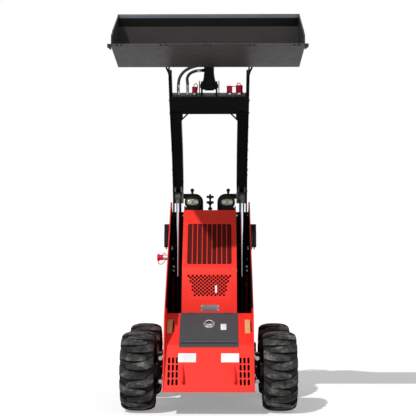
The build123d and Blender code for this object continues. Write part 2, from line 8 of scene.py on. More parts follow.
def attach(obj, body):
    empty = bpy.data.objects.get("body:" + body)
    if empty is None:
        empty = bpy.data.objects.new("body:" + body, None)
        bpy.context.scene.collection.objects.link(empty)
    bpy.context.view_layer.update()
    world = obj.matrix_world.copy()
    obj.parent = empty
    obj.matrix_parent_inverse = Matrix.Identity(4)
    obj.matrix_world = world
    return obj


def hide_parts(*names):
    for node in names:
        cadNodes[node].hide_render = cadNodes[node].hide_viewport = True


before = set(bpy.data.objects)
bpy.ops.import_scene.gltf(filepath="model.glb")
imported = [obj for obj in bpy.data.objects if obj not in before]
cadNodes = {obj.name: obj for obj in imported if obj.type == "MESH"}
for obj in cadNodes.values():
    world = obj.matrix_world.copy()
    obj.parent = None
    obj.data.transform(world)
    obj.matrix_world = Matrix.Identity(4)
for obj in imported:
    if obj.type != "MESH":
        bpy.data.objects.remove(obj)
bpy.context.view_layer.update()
print("frame loaded")

mm = 0.001
bothSides = (-1, 1)  # the machine's right, then its left
ahead, aback, upright = (0, -1, 0), (0, 1, 0), (0, 0, 1)
crossPlane = ((1, 0, 0), upright)  # plates that face the nose
sidePlane = ((0, 1, 0), upright)  # plates that face the side

# materials, each kept under its own name in skins

skins = {}


def feed(tree, node, inputs):
    # sets inputs by label or number, each from a value or from another node's socket
    for key, value in inputs.items():
        for item in value if isinstance(value, list) else [value]:
            if isinstance(item, bpy.types.NodeSocket):
                tree.links.new(item, node.inputs[key])
            else:
                node.inputs[key].default_value = item
    return node


def addNode(tree, kind, inputs=None, output=0, **settings):
    # a new node, given as one of its outputs
    node = tree.nodes.new(kind)
    for key, value in settings.items():
        setattr(node, key, value)
    return feed(tree, node, inputs or {}).outputs[output]


def mathNode(tree, operation, first, second):
    return addNode(tree, "ShaderNodeMath", {0: first, 1: second}, operation=operation)


def newMaterial(name, colour, roughness, metallic=0.0):
    skins[name] = material = bpy.data.materials.new(name)
    material.use_nodes = True
    material.diffuse_color = (*colour, 1)
    tree = material.node_tree
    start = {"Base Color": (*colour, 1), "Roughness": roughness, "Metallic": metallic}
    return tree, feed(tree, tree.nodes["Principled BSDF"], start)


def objectPlace(tree):
    return addNode(tree, "ShaderNodeTexCoord", output="Object")


def objectNoise(tree, scale, detail=4.0, rough=0.55, stretch=(1, 1, 1)):
    mapping = addNode(tree, "ShaderNodeMapping", {"Vector": objectPlace(tree), "Scale": stretch})
    grain = {"Vector": mapping, "Scale": scale, "Detail": detail, "Roughness": rough}
    return addNode(tree, "ShaderNodeTexNoise", grain)


def ramp(tree, source, *stops):
    output = addNode(tree, "ShaderNodeValToRGB", {"Fac": source})
    elements = output.node.color_ramp.elements
    while len(elements) < len(stops):
        elements.new(0.5)
    for element, (place, colour) in zip(elements, stops):
        element.position = place
        element.color = (*colour, 1)
    return output


def spread(tree, source, low, high):
    return addNode(tree, "ShaderNodeMapRange", {"To Min": low, "To Max": high, "Value": source})


def addBump(tree, shader, height, strength, distance):
    relief = {"Strength": strength, "Distance": distance, "Height": height}
    feed(tree, shader, {"Normal": addNode(tree, "ShaderNodeBump", relief)})


def darker(colour, share):
    return tuple(c * share for c in colour)


def sprayedPaint(name, look):
    # enamel over steel: faint orange peel, uneven gloss and a little dust
    colour, rough = look["colour"], look["roughness"]
    tree, shader = newMaterial(name, colour, rough)
    cloud = objectNoise(tree, look.get("cloudScale", 5.0), 5.0)
    smear = objectNoise(tree, 22.0, 6.0)
    surface = {
        "Base Color": ramp(tree, cloud, (0.3, darker(colour, look.get("shade", 0.82))), (0.62, colour)),
        "Roughness": spread(tree, smear, rough * 0.75, rough * 1.3),
        "Specular IOR Level": look.get("specular", 0.3),
        "Coat Weight": look.get("coat", 0.0),
        "Coat Roughness": 0.08,
    }
    feed(tree, shader, surface)
    addBump(tree, shader, objectNoise(tree, 420.0, 2.0), look.get("peel", 0.12), 0.0004)


paintLooks = {
    "machineRed": {
        "colour": (0.86, 0.028, 0.016), "roughness": 0.4, "coat": 0.03, "shade": 0.93, "specular": 0.22,
    },
    "frameBlack": {"colour": (0.004, 0.004, 0.0042), "roughness": 0.42, "specular": 0.07, "shade": 0.7},
    "bucketGrey": {"colour": (0.028, 0.0255, 0.0245), "roughness": 0.38, "specular": 0.22, "shade": 0.78},
    "lidGrey": {"colour": (0.06, 0.06, 0.066), "roughness": 0.42, "shade": 0.9, "peel": 0.3, "specular": 0.2},
    "forkGrey": {"colour": (0.11, 0.108, 0.1), "roughness": 0.5, "shade": 0.6, "peel": 0.4},
    "rimBlack": {"colour": (0.022, 0.022, 0.024), "roughness": 0.35, "shade": 0.75},
    # lighter bluish grey: dust with a painted sky sheen, for faces turned up to the light
    "dustySteel": {
        "colour": (0.11, 0.112, 0.125), "roughness": 0.6, "shade": 0.6, "cloudScale": 40.0, "peel": 0.3,
    },
    # darker grey for the lid's hem: painted shade
    "hemGrey": {"colour": (0.036, 0.036, 0.039), "roughness": 0.5, "specular": 0.15},
    # lighter bluish grey on the bucket's rim bar: painted highlight on its upward-tilted face
    "rimSteel": {"colour": (0.115, 0.128, 0.155), "roughness": 0.45, "shade": 0.75, "cloudScale": 9.0},
}
for name, look in paintLooks.items():
    sprayedPaint(name, look)


def bareMetal(name, colour, rough, grain, stretch=(1, 1, 1)):
    tree, shader = newMaterial(name, colour, rough, 1.0)
    lines = objectNoise(tree, grain, 3.0, stretch=stretch)
    tarnish = objectNoise(tree, 30.0, 5.0)
    surface = {
        "Base Color": ramp(tree, tarnish, (0.35, darker(colour, 0.78)), (0.6, colour)),
        "Roughness": spread(tree, lines, rough * 0.7, rough * 1.5),
    }
    feed(tree, shader, surface)
    addBump(tree, shader, lines, 0.08, 0.0003)
    return tree, shader


def chromeWithPaintedReflection(name, front, flank):
    # a polished bar: its base colour darkens where it turns away, a painted reflection of the dark machine
    # round it
    tree, shader = bareMetal(name, (0.5, 0.53, 0.58), 0.16, 60.0)
    turned = addNode(tree, "ShaderNodeLayerWeight", {"Blend": 0.42}, "Facing")
    feed(tree, shader, {"Base Color": ramp(tree, turned, (0.12, front), (0.34, flank))})


metalLooks = {
    # colour, roughness, scale of the grain, its stretch
    "boltZinc": ((0.68, 0.68, 0.66), 0.32, 300.0),
    "castIron": ((0.09, 0.09, 0.095), 0.55, 180.0),
    "plateSteel": ((0.2, 0.2, 0.21), 0.36, 240.0, (1, 1, 12)),
    "bezelSteel": ((0.3, 0.3, 0.29), 0.4, 200.0),
}
for name, look in metalLooks.items():
    bareMetal(name, *look)
chromeWithPaintedReflection("rodChrome", (0.56, 0.6, 0.66), (0.05, 0.055, 0.065))


def treadRubber(name):
    # black rubber, paler where the mesh's own value is high: dust, and painted light and shade down each lug
    tree, shader = newMaterial(name, (0.022, 0.021, 0.02), 0.85)
    wear = addNode(tree, "ShaderNodeAttribute", output="Fac", attribute_name="wear")
    dust = objectNoise(tree, 26.0, 9.0, 0.72)
    streak = objectNoise(tree, 9.0, 4.0, 0.6, (1.0, 2.2, 2.2))
    held = mathNode(tree, "MULTIPLY", mathNode(tree, "MULTIPLY", dust, streak), wear)
    clean, dull, grey, pale = (
        (0.0025, 0.0025, 0.003), (0.011, 0.011, 0.012), (0.044, 0.043, 0.041), (0.19, 0.178, 0.165),
    )
    surface = {
        "Base Color": ramp(tree, held, (0.02, clean), (0.15, dull), (0.26, grey), (0.4, pale)),
        "Roughness": spread(tree, dust, 0.7, 0.98),
        "Specular IOR Level": 0.18,
    }
    feed(tree, shader, surface)
    addBump(tree, shader, objectNoise(tree, 150.0, 7.0, 0.72), 0.6, 0.0016)


treadRubber("tyreRubber")


def mouldedPlastic(name, colour, rough, pores, strength, gloss=0.3):
    tree, shader = newMaterial(name, colour, rough)
    tone = objectNoise(tree, 14.0, 4.0)
    surface = {
        "Base Color": ramp(tree, tone, (0.3, darker(colour, 0.82)), (0.65, colour)),
        "Roughness": spread(tree, tone, rough * 0.8, rough * 1.25),
        "Specular IOR Level": gloss,
    }
    feed(tree, shader, surface)
    addBump(tree, shader, objectNoise(tree, pores, 3.0), strength, 0.0004)


plasticLooks = {
    # colour, roughness, scale of the pores, their depth, gloss
    "blackPlastic": ((0.005, 0.005, 0.0055), 0.5, 260.0, 0.2, 0.1),
    "capRed": ((0.72, 0.004, 0.045), 0.34, 120.0, 0.1, 0.25),
    "stickerWhite": ((0.86, 0.86, 0.87), 0.35, 90.0, 0.05),
    "labelTan": ((0.72, 0.5, 0.22), 0.4, 90.0, 0.05),
    "padVinyl": ((0.024, 0.024, 0.025), 0.6, 340.0, 0.5),
    "chipGreen": ((0.3, 0.36, 0.05), 0.3, 200.0, 0.05),
    "smokedLens": ((0.016, 0.018, 0.02), 0.2, 60.0, 0.02, 0.15),
}
for name, look in plasticLooks.items():
    mouldedPlastic(name, *look)


def braidedHose(name):
    # woven cover of a pressure hose: fine crossing strands
    tree, shader = newMaterial(name, (0.02, 0.021, 0.024), 0.5)
    place = objectPlace(tree)
    strands = []
    for turn in (0.6, -0.6):
        mapping = addNode(tree, "ShaderNodeMapping", {"Rotation": (turn, turn, 0), "Vector": place})
        wave = {"Scale": 150.0, "Distortion": 0.6, "Vector": mapping}
        strands.append(addNode(tree, "ShaderNodeTexWave", wave, "Fac"))
    weave = mathNode(tree, "MAXIMUM", *strands)
    colour = ramp(tree, weave, (0.2, (0.01, 0.01, 0.012)), (0.9, (0.055, 0.06, 0.068)))
    feed(tree, shader, {"Base Color": colour})
    addBump(tree, shader, weave, 0.5, 0.0008)


braidedHose("hoseCover")


def meshScreen(name):
    # fine square wire screen whose gaps are painted near black: painted shade of the engine bay behind it
    tree, shader = newMaterial(name, (0.05, 0.012, 0.01), 0.5)
    place = addNode(tree, "ShaderNodeSeparateXYZ", {"Vector": objectPlace(tree)}).node.outputs
    weave = {
        "Vector": addNode(tree, "ShaderNodeCombineXYZ", {"X": place["X"], "Y": place["Z"]}),
        "Scale": 1.0,
        "Brick Width": 0.0062,
        "Row Height": 0.0062,
        "Mortar Size": 0.0013,
        "Mortar Smooth": 0.2,
        # the gaps between the wires: painted shade
        "Color1": (0.006, 0.004, 0.004, 1),
        "Color2": (0.012, 0.005, 0.005, 1),
        "Mortar": (0.14, 0.016, 0.013, 1),
    }
    grid = addNode(tree, "ShaderNodeTexBrick", weave, "Color", offset=0.0)
    feed(tree, shader, {"Base Color": grid, "Roughness": 0.85, "Specular IOR Level": 0.05})
    addBump(tree, shader, grid.node.outputs["Fac"], 0.6, 0.001)


meshScreen("screenDark")


def lampLens(name):
    tree, shader = newMaterial(name, (0.75, 0.78, 0.7), 0.12, 0.3)
    depth = addNode(tree, "ShaderNodeTexVoronoi", {"Scale": 130.0, "Vector": objectPlace(tree)}, "Distance")
    glass = ramp(tree, depth, (0.1, (0.95, 0.95, 0.8)), (0.6, (0.35, 0.38, 0.25)))
    feed(tree, shader, {"Base Color": glass, "Coat Weight": 1.0})
    addBump(tree, shader, depth, 0.7, 0.002)


lampLens("lensGlass")
print("materials made")

# helpers for making pieces


def finishMesh(mesh, name, skin, body, *nodes):
    if skin:
        mesh.materials.clear()
        mesh.materials.append(skins[skin])
    piece = bpy.data.objects.new(name, mesh)
    bpy.context.collection.objects.link(piece)
    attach(piece, body)
    if nodes:
        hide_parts(*nodes)
    return piece


def evaluatedMesh(item):
    graph = bpy.context.evaluated_depsgraph_get()
    graph.update()
    return bpy.data.meshes.new_from_object(item.evaluated_get(graph))


def bakeModifiers(piece):
    # the evaluated result as a plain mesh, with every modifier gone
    mesh = evaluatedMesh(piece)
    piece.modifiers.clear()
    piece.data = mesh


def shadeByAngle(mesh, degrees):
    bm = bmesh.new()
    bm.from_mesh(mesh)
    for face in bm.faces:
        face.smooth = True
    for edge in bm.edges:
        edge.smooth = len(edge.link_faces) == 2 and edge.calc_face_angle(0) < radians(degrees)
    bm.to_mesh(mesh)
    bm.free()


def meshFromBm(bm, name, smooth=40):
    mesh = bpy.data.meshes.new(name)
    bm.to_mesh(mesh)
    bm.free()
    shadeByAngle(mesh, smooth)
    return mesh


def finishBm(bm, name, skin, body, *nodes, smooth=40):
    return finishMesh(meshFromBm(bm, name, smooth), name, skin, body, *nodes)


def newMeshes(count):
    return [bmesh.new() for k in range(count)]


easing = {"merge": 1e-5, "flatAngle": 1.2, "sharpAngle": 38}


def easedPiece(node, name, skin, body, width, segments=2):
    # a merged copy of a CAD shape with its sheared edges eased, so that they catch the light
    bm = bmesh.new()
    bm.from_mesh(cadNodes[node].data)
    bmesh.ops.remove_doubles(bm, verts=bm.verts, dist=easing["merge"])
    flat = radians(easing["flatAngle"])
    bmesh.ops.dissolve_limit(bm, angle_limit=flat, verts=bm.verts, edges=bm.edges)
    piece = finishBm(bm, name, skin, body, node)
    ease = piece.modifiers.new("ease", "BEVEL")
    ease.width = width * mm
    ease.segments = segments
    ease.limit_method = "ANGLE"
    ease.angle_limit = radians(easing["sharpAngle"])
    ease.use_clamp_overlap = True
    weigh = piece.modifiers.new("weigh", "WEIGHTED_NORMAL")
    weigh.keep_sharp = True
    bakeModifiers(piece)
    return piece


def addBar(bm, start, stop, radius, count=16):
    # a closed round bar between two points in millimetres, with a small chamfer at each end
    start, stop, radius = Vector(start) * mm, Vector(stop) * mm, radius * mm
    run = stop - start
    side = run.orthogonal().normalized()
    other = run.cross(side).normalized()
    ease = radius * 0.12
    step = run.normalized() * ease
    loops = []
    turns = [2 * pi * k / count for k in range(count)]
    tip = radius - ease
    for centre, size in ((start, tip), (start + step, radius), (stop - step, radius), (stop, tip)):
        loops.append([bm.verts.new(centre + (side * cos(t) + other * sin(t)) * size) for t in turns])
    for lower, upper in zip(loops, loops[1:]):
        for k in range(count):
            n = (k + 1) % count
            bm.faces.new((lower[k], lower[n], upper[n], upper[k]))
    bm.faces.new(loops[0][::-1])
    bm.faces.new(loops[-1])


def roundEdges(bm, edges, ease):
    bmesh.ops.bevel(bm, geom=edges, offset=ease * mm, segments=2, affect="EDGES", profile=0.5)


def addBlock(bm, low, high, ease):
    # a box between two corners in millimetres, with its edges eased
    made = bmesh.ops.create_cube(bm, size=1.0)["verts"]
    for vert in made:
        vert.co = Vector([(h if c > 0 else l) * mm for c, l, h in zip(vert.co, low, high)])
    roundEdges(bm, list({edge for vert in made for edge in vert.link_edges}), ease)


def addPlate(bm, outline, home, plane, thickness, ease):
    # a flat plate from an outline in its plane, standing out from it, with its outer rim eased
    right, up = Vector(plane[0]), Vector(plane[1])
    out = right.cross(up).normalized()
    base = [(Vector(home) + right * u + up * v) * mm for u, v in outline]
    lower = [bm.verts.new(p) for p in base]
    upper = [bm.verts.new(p + out * thickness * mm) for p in base]
    faces = [bm.faces.new(lower[::-1]), bm.faces.new(upper)]
    for k in range(len(base)):
        n = (k + 1) % len(base)
        faces.append(bm.faces.new((lower[k], lower[n], upper[n], upper[k])))
    bmesh.ops.recalc_face_normals(bm, faces=faces)
    roundEdges(bm, list(faces[1].edges), ease)


def rectangle(left, right, low, high):
    return [(left, low), (right, low), (right, high), (left, high)]


def mirrored(outline, side):
    return [(side * u, v) for u, v in outline][::side]


def between(side, inner, outer):
    return sorted((side * inner, side * outer))


def roundedOutline(wide, tall, corner, steps=5):
    points = []
    for quarter, (sx, sy) in enumerate([(1, 1), (-1, 1), (-1, -1), (1, -1)]):
        cx, cy = sx * (wide / 2 - corner), sy * (tall / 2 - corner)
        for k in range(steps + 1):
            turn = quarter * pi / 2 + k * pi / 2 / steps
            points.append((cx + corner * cos(turn), cy + corner * sin(turn)))
    return points


def lathe(profile, centre, axis, count):
    # turns (along, radius) millimetres round an axis through the centre
    bm = bmesh.new()
    run = Vector(axis).normalized()
    side = run.orthogonal().normalized()
    other = run.cross(side)
    home = Vector(centre) * mm
    loops = []
    for k in range(count):
        turn = 2 * pi * k / count
        spoke = side * cos(turn) + other * sin(turn)
        loops.append([bm.verts.new(home + run * x * mm + spoke * r * mm) for x, r in profile])
    for k in range(count):
        here, there = loops[k], loops[(k + 1) % count]
        for j in range(len(profile)):
            n = (j + 1) % len(profile)
            bm.faces.new((here[j], there[j], there[n], here[n]))
    bmesh.ops.remove_doubles(bm, verts=bm.verts, dist=1e-6)
    bmesh.ops.recalc_face_normals(bm, faces=bm.faces)
    return bm


def addLathe(bm, *shape):
    part = lathe(*shape)
    mesh = bpy.data.meshes.new("part")
    part.to_mesh(mesh)
    part.free()
    bm.from_mesh(mesh)
    bpy.data.meshes.remove(mesh)


def smoothTube(name, places, radius, rounding, resolution):
    # a round tube along a smooth route of points in millimetres
    curve = bpy.data.curves.new(name, "CURVE")
    curve.dimensions = "3D"
    curve.bevel_depth = radius * mm
    curve.bevel_resolution = rounding
    curve.use_fill_caps = True
    spline = curve.splines.new("NURBS")
    spline.points.add(len(places) - 1)
    for point, place in zip(spline.points, places):
        point.co = (*(Vector(place) * mm), 1)
    spline.order_u = 3
    spline.use_endpoint_u = True
    spline.resolution_u = resolution
    tube = bpy.data.objects.new(name, curve)
    bpy.context.collection.objects.link(tube)
    return tube


def addStrap(bm, places, radius):
    # a moulded tether or a bent pipe
    tube = smoothTube("strap", places, radius, 3, 8)
    bm.from_mesh(evaluatedMesh(tube))
    bpy.data.objects.remove(tube)


def slope(foot, top):
    # a leaning face between two (y, z) points: its foot, the way up it and the way out of it
    run = Vector((0, top[0] - foot[0], top[1] - foot[1])).normalized()
    out = Vector((0, -run.z, run.y))
    return {"foot": Vector((0, *foot)), "run": run, "out": out, "plane": ((1, 0, 0), run)}


def on(face, rise, lift=0.0, x=0.0):
    return face["foot"] + face["run"] * rise + face["out"] * lift + Vector((x, 0, 0))


# geometry node trees for what repeats


def newTree(name, inputs):
    # an input is a number with its default, or None for an object
    tree = bpy.data.node_groups.new(name, "GeometryNodeTree")
    kinds = {float: "Float", int: "Int", type(None): "Object"}
    rows = [("Geometry", "Geometry", None)]
    rows += [(label, kinds[type(value)], value) for label, value in inputs.items()]
    rows.append(("Finish", "Material", None))
    for label, kind, value in rows:
        socket = tree.interface.new_socket(label, in_out="INPUT", socket_type=f"NodeSocket{kind}")
        if value is not None:
            socket.default_value = value
    tree.interface.new_socket("Geometry", in_out="OUTPUT", socket_type="NodeSocketGeometry")
    return tree, tree.nodes.new("NodeGroupInput").outputs


def closeTree(tree, entry, geometry):
    # every tree ends as real geometry with its finish set
    real = addNode(tree, "GeometryNodeRealizeInstances", {"Geometry": geometry})
    paint = addNode(tree, "GeometryNodeSetMaterial", {"Geometry": real, "Material": entry["Finish"]})
    feed(tree, tree.nodes.new("NodeGroupOutput"), {"Geometry": paint})
    return tree


def runTree(piece, tree, values):
    # sets the inputs by their identifiers, then keeps the result as a plain mesh
    modifier = piece.modifiers.new(tree.name, "NODES")
    modifier.node_group = tree
    for item in tree.interface.items_tree:
        if item.in_out == "INPUT" and item.name in values:
            modifier[item.identifier] = values[item.name]
    bakeModifiers(piece)


def cylinder(tree, count, radius, depth):
    return addNode(tree, "GeometryNodeMeshCylinder", {"Vertices": count, "Radius": radius, "Depth": depth})


def scatter(tree, points, instance, rotation, **more):
    inputs = {"Points": points, "Instance": instance, "Rotation": rotation, **more}
    return addNode(tree, "GeometryNodeInstanceOnPoints", inputs)


def pointValue(tree, name, kind):
    return addNode(tree, "GeometryNodeInputNamedAttribute", {"Name": name}, "Attribute", data_type=kind)


def facingRotation(tree):
    # turns an item's own Z to the direction stored on each point
    facing = pointValue(tree, "facing", "FLOAT_VECTOR")
    return addNode(tree, "FunctionNodeAlignRotationToVector", {"Vector": facing}, axis="Z")


def boltTree():
    # hexagon heads, each with the end of its stud and a washer
    defaults = {"Head Radius": 0.007, "Head Height": 0.006, "Washer Radius": 0.011}
    tree, entry = newTree("boltHeads", defaults)
    radius, height = entry["Head Radius"], entry["Head Height"]
    rise = addNode(tree, "ShaderNodeCombineXYZ", {"Z": mathNode(tree, "MULTIPLY", height, 0.5)})
    head = {"Geometry": cylinder(tree, 6, radius, height), "Translation": rise}
    parts = [
        addNode(tree, "GeometryNodeTransform", head),
        cylinder(tree, 12, mathNode(tree, "MULTIPLY", radius, 0.78), mathNode(tree, "MULTIPLY", height, 2.3)),
        cylinder(tree, 20, entry["Washer Radius"], 0.003),
    ]
    bolt = addNode(tree, "GeometryNodeJoinGeometry", {"Geometry": parts})
    return closeTree(tree, entry, scatter(tree, entry["Geometry"], bolt, facingRotation(tree)))


boltHeads = boltTree()


def pointMesh(name, points):
    # points in millimetres, each with the direction that its item faces
    mesh = bpy.data.meshes.new(name)
    mesh.from_pydata([Vector(p) * mm for p, facing in points], [], [])
    facings = mesh.attributes.new("facing", "FLOAT_VECTOR", "POINT")
    for item, (p, facing) in zip(facings.data, points):
        item.vector = Vector(facing).normalized()
    return mesh


def addBolts(name, points, body, head, skin="boltZinc"):
    piece = finishMesh(pointMesh(name, points), name, None, body)
    sizes = {"Head Radius": head * mm, "Head Height": head * 0.7 * mm, "Washer Radius": head * 1.5 * mm}
    runTree(piece, boltHeads, {**sizes, "Finish": skins[skin]})
    shadeByAngle(piece.data, 30)


print("node trees made")

# sheet metal and structure, from the CAD shapes with their edges eased

easedPieces = {
    # skin and body: CAD node, piece, edge width
    ("machineRed", "chassis"): [
        ("side_plate_left", "sidePlateLeft", 1.6),
        ("side_plate_right", "sidePlateRight", 1.6),
        ("front_panel", "nosePanel", 1.0),
        ("panel_stops", "noseStops", 2.4),
        ("deck", "deckSheet", 0.8),
        ("rear_panel", "rearPanel", 1.6),
    ],
    ("lidGrey", "chassis"): [("fuel_lid", "tankLid", 0.9)],
    ("frameBlack", "chassis"): [
        ("floor_pan", "bellyPan", 1.2),
        ("frame_plate_left", "innerPlateLeft", 1.4),
        ("frame_plate_right", "innerPlateRight", 1.4),
        ("guard_plates", "guardPlates", 1.0),
        ("grab_rails", "grabRails", 2.2),
        ("control_console", "consoleBox", 4.0),
        ("step_platform", "stepPlatform", 1.4),
    ],
    ("frameBlack", "arms"): [
        ("lift_arm_left", "liftArmLeft", 1.6),
        ("lift_arm_right", "liftArmRight", 1.6),
        ("arm_crossbar", "armCrossbar", 3.0),
    ],
    ("forkGrey", "arms"): [("lift_forks", "liftForks", 1.6)],
    ("bucketGrey", "bucket"): [
        ("bucket_shell", "bucketShell", 1.8),
        ("cutting_edge", "cuttingEdge", 1.2),
        ("bucket_brackets", "bucketEars", 1.6),
    ],
}
for (skin, body), rows in easedPieces.items():
    for node, name, width in rows:
        easedPiece(node, name, skin, body, width)
print("sheet metal eased")

# CAD pieces that keep their own shape get their finish

finishes = {
    "frameBlack": ["lift_barrels", "tilt_barrel", "wheel_motors"],
    "rodChrome": ["tilt_rod"],
    "castIron": ["engine_block", "fluid_tank", "fuel_tank"],
    "boltZinc": ["frame_pins"],
    "blackPlastic": ["control_levers"],
}
for skin, names in finishes.items():
    for name in names:
        for slot in cadNodes[name].material_slots:
            slot.material = skins[skin]
print("frame pieces finished")

# tyres and rims

wheelPlaces = {
    "front_left": (1, -330.0),
    "front_right": (-1, -330.0),
    "rear_left": (1, 330.0),
    "rear_right": (-1, 330.0),
}
tyreSizes = {
    "halfTrack": 452.0,
    "radius": 254.0,
    "lugHeight": 17.0,
    "lugsPerSide": 14,
    "lugLine": [(-48, -4), (-20, -2), (15, 0), (44, 5), (70, 14), (92, 26), (106, 37)],
    "lugHalves": [16, 21, 24, 26, 29, 32, 34],
    # the envelope of the lugs' tips across the tread: (x, radius)
    "tread": [(0, 254), (24, 253.6), (48, 252), (70, 248), (84, 243.5), (96, 236.5), (104, 230), (107, 222)],
    # half of the tyre under its lugs, from the middle of the tread to the bead: (x, radius)
    "carcass": [
        (0, 236.5), (30, 236), (56, 233.5), (80, 228), (96, 219), (103, 208), (106, 194), (106.5, 182),
        (103, 168), (96, 156), (88, 148), (80, 143.5), (76, 138), (76, 127),
    ],
    # dust and painted shade: paleness fades down a lug from its face to clean black at its foot, where shade
    # falls, then dust lies on the groove floors and on the flanks
    "lugShadeFade": (1.0, 9.0),
    "groove": (13.0, 18.5, 0.62),  # from and to this depth, and how much
    "flank": (98, 228, 0.5),  # outside this x, inside this radius, and how much
}


def treadRadius(x):
    places = tyreSizes["tread"]
    x = abs(x)
    for (x0, r0), (x1, r1) in zip(places, places[1:]):
        if x <= x1:
            return r0 + (r1 - r0) * (x - x0) / (x1 - x0)
    return places[-1][1]


def smoothRow(points, halves, steps=3):
    # a smooth line through the lug's stations, as (x, s, half width)
    values = [(*p, h) for p, h in zip(points, halves)]
    padded = [values[0], *values, values[-1]]
    rows = []
    for quad in zip(padded, padded[1:], padded[2:], padded[3:]):
        for t in (k / steps for k in range(steps)):
            row = []
            for p, q, r, u in zip(*quad):
                curve = (2 * p - 5 * q + 4 * r - u) * t * t + (3 * q - p - 3 * r + u) * t**3
                row.append(0.5 * (2 * q + (r - p) * t + curve))
            rows.append(tuple(row))
    rows.append(values[-1])
    return rows


def lugMesh(sizes):
    # one lug, lying over the top of the wheel: chamfered tip, sloping walls, rounded inner end
    bm = bmesh.new()
    rows = smoothRow(sizes["lugLine"], sizes["lugHalves"])
    x, s, h = rows[0]
    rows = [(x - 16 * sin(t), s, h * cos(t)) for t in (1.35, 0.9, 0.45)] + rows
    section = [(x, s, h, treadRadius(x)) for x, s, h in rows]
    x, s, h, r = section[-1]
    shoulder = [(1.2, 4, 0.96, 14), (1.4, 8, 0.86, 30), (-1.5, 10, 0.7, 44)]
    section += [(x + out, s + on, h * thin, r - drop) for out, on, thin, drop in shoulder]
    wall = [(1, 0.0, 4.0), (1, 0.8, 1.2), (0.95, 1.0, 0.0), (0.4, 1.0, 0.0)]  # side, rise, flare
    profile = [(-side, rise, flare) for side, rise, flare in wall] + wall[::-1]
    grid = []
    for index, (x, s, h, tipRadius) in enumerate(section):
        over = max(0, index - len(rows) + 1)
        depth = (sizes["lugHeight"] + 5) * (0.75 if over else 1.0)
        line = []
        for side, rise, flare in profile:
            radius = tipRadius - (1 - rise) * depth
            turn = (side * (h + flare) + s) / sizes["radius"]
            place = (x - over * (1 - rise) * 4.5, radius * sin(turn), radius * cos(turn))
            line.append(bm.verts.new(Vector(place) * mm))
        grid.append(line)
    for lower, upper in zip(grid, grid[1:]):
        for k in range(len(profile) - 1):
            bm.faces.new((lower[k], upper[k], upper[k + 1], lower[k + 1]))
    for line in (grid[0], grid[-1]):
        bm.faces.new(line)
    bmesh.ops.recalc_face_normals(bm, faces=bm.faces)
    return bm


def lugTree():
    # the lug and its mirror image set round the wheel, half a pitch apart
    tree, entry = newTree("lugRing", {"Lug": None, "Mirror Lug": None, "Lugs Per Side": 14})
    count = entry["Lugs Per Side"]
    pitch = mathNode(tree, "DIVIDE", 2 * pi, count)
    rings = [entry["Geometry"]]
    for label, offset in (("Lug", 0.0), ("Mirror Lug", 0.5)):
        lug = addNode(tree, "GeometryNodeObjectInfo", {"Object": entry[label]}, "Geometry")
        places = addNode(tree, "GeometryNodeMeshLine", {"Count": count, "Offset": (0, 0, 0)})
        index = addNode(tree, "GeometryNodeInputIndex")
        angle = mathNode(tree, "MULTIPLY", mathNode(tree, "ADD", index, offset), pitch)
        rings.append(scatter(tree, places, lug, addNode(tree, "ShaderNodeCombineXYZ", {"X": angle})))
    return closeTree(tree, entry, addNode(tree, "GeometryNodeJoinGeometry", {"Geometry": rings}))


def markDustAndShade(mesh, sizes):
    # 1 on the lugs' faces (dust, and painted light), nothing at their feet (painted shade), some dust on the
    # groove floors and flanks
    wear = mesh.attributes.new("wear", "FLOAT", "POINT")
    fadeStart, fadeRun = sizes["lugShadeFade"]
    shallow, deep, grooveDust = sizes["groove"]
    outside, inside, flankDust = sizes["flank"]
    for vert, item in zip(mesh.vertices, wear.data):
        x, radius = abs(vert.co.x) / mm, hypot(vert.co.y, vert.co.z) / mm
        depth = treadRadius(x) - radius
        top = 1.0 - min(max((depth - fadeStart) / fadeRun, 0.0), 1.0)
        groove = grooveDust if shallow < depth < deep else 0.0
        flank = flankDust if x > outside and radius < inside else 0.0
        item.value = max(top, groove, flank)


def makeTyres(sizes):
    lug = bpy.data.objects.new("lugPattern", meshFromBm(lugMesh(sizes), "lugPattern", 50))
    mirror = lug.data.copy()
    mirror.transform(Matrix.Diagonal((-1, 1, 1, 1)))
    mirror.flip_normals()
    other = bpy.data.objects.new("lugPatternMirror", mirror)
    ring = lugTree()
    half = sizes["carcass"]
    profile = half + [(-x, r) for x, r in half[:0:-1]]
    for corner, (side, axleY) in wheelPlaces.items():
        mesh = meshFromBm(lathe(profile, (0, 0, 0), (1, 0, 0), 96), f"tyre_{corner}", 45)
        piece = finishMesh(mesh, f"tyrePiece_{corner}", None, f"wheel_{corner}", f"tyre_{corner}")
        values = {"Lug": lug, "Mirror Lug": other, "Lugs Per Side": sizes["lugsPerSide"]}
        runTree(piece, ring, {**values, "Finish": skins["tyreRubber"]})
        markDustAndShade(piece.data, sizes)
        axle = Vector((side * sizes["halfTrack"], axleY, sizes["radius"]))
        piece.data.transform(Matrix.Translation(axle * mm))
        piece.data.materials.clear()
        piece.data.materials.append(skins["tyreRubber"])
    for helper in (lug, other):
        bpy.data.objects.remove(helper)


makeTyres(tyreSizes)

rimSizes = {
    # dished disc and barrel, x measured outwards from the middle of the wheel
    "profile": [
        (-81, 121), (-81, 143), (-76, 143), (-74, 130), (-30, 127), (30, 127), (74, 130), (76, 143),
        (81, 143), (81, 121), (60, 118), (34, 112), (10, 100), (-8, 92), (-21, 80), (-21, 21), (-39, 21),
        (-39, 84), (-24, 108), (10, 122), (-60, 122),
    ],
    "hub": [(-122, 21), (-122, 48), (-40, 50), (-20, 46), (-17, 30), (-17, 21)],
    "boltFace": -19.5,
    "boltCircle": 60.0,
    "bolts": 8,
}


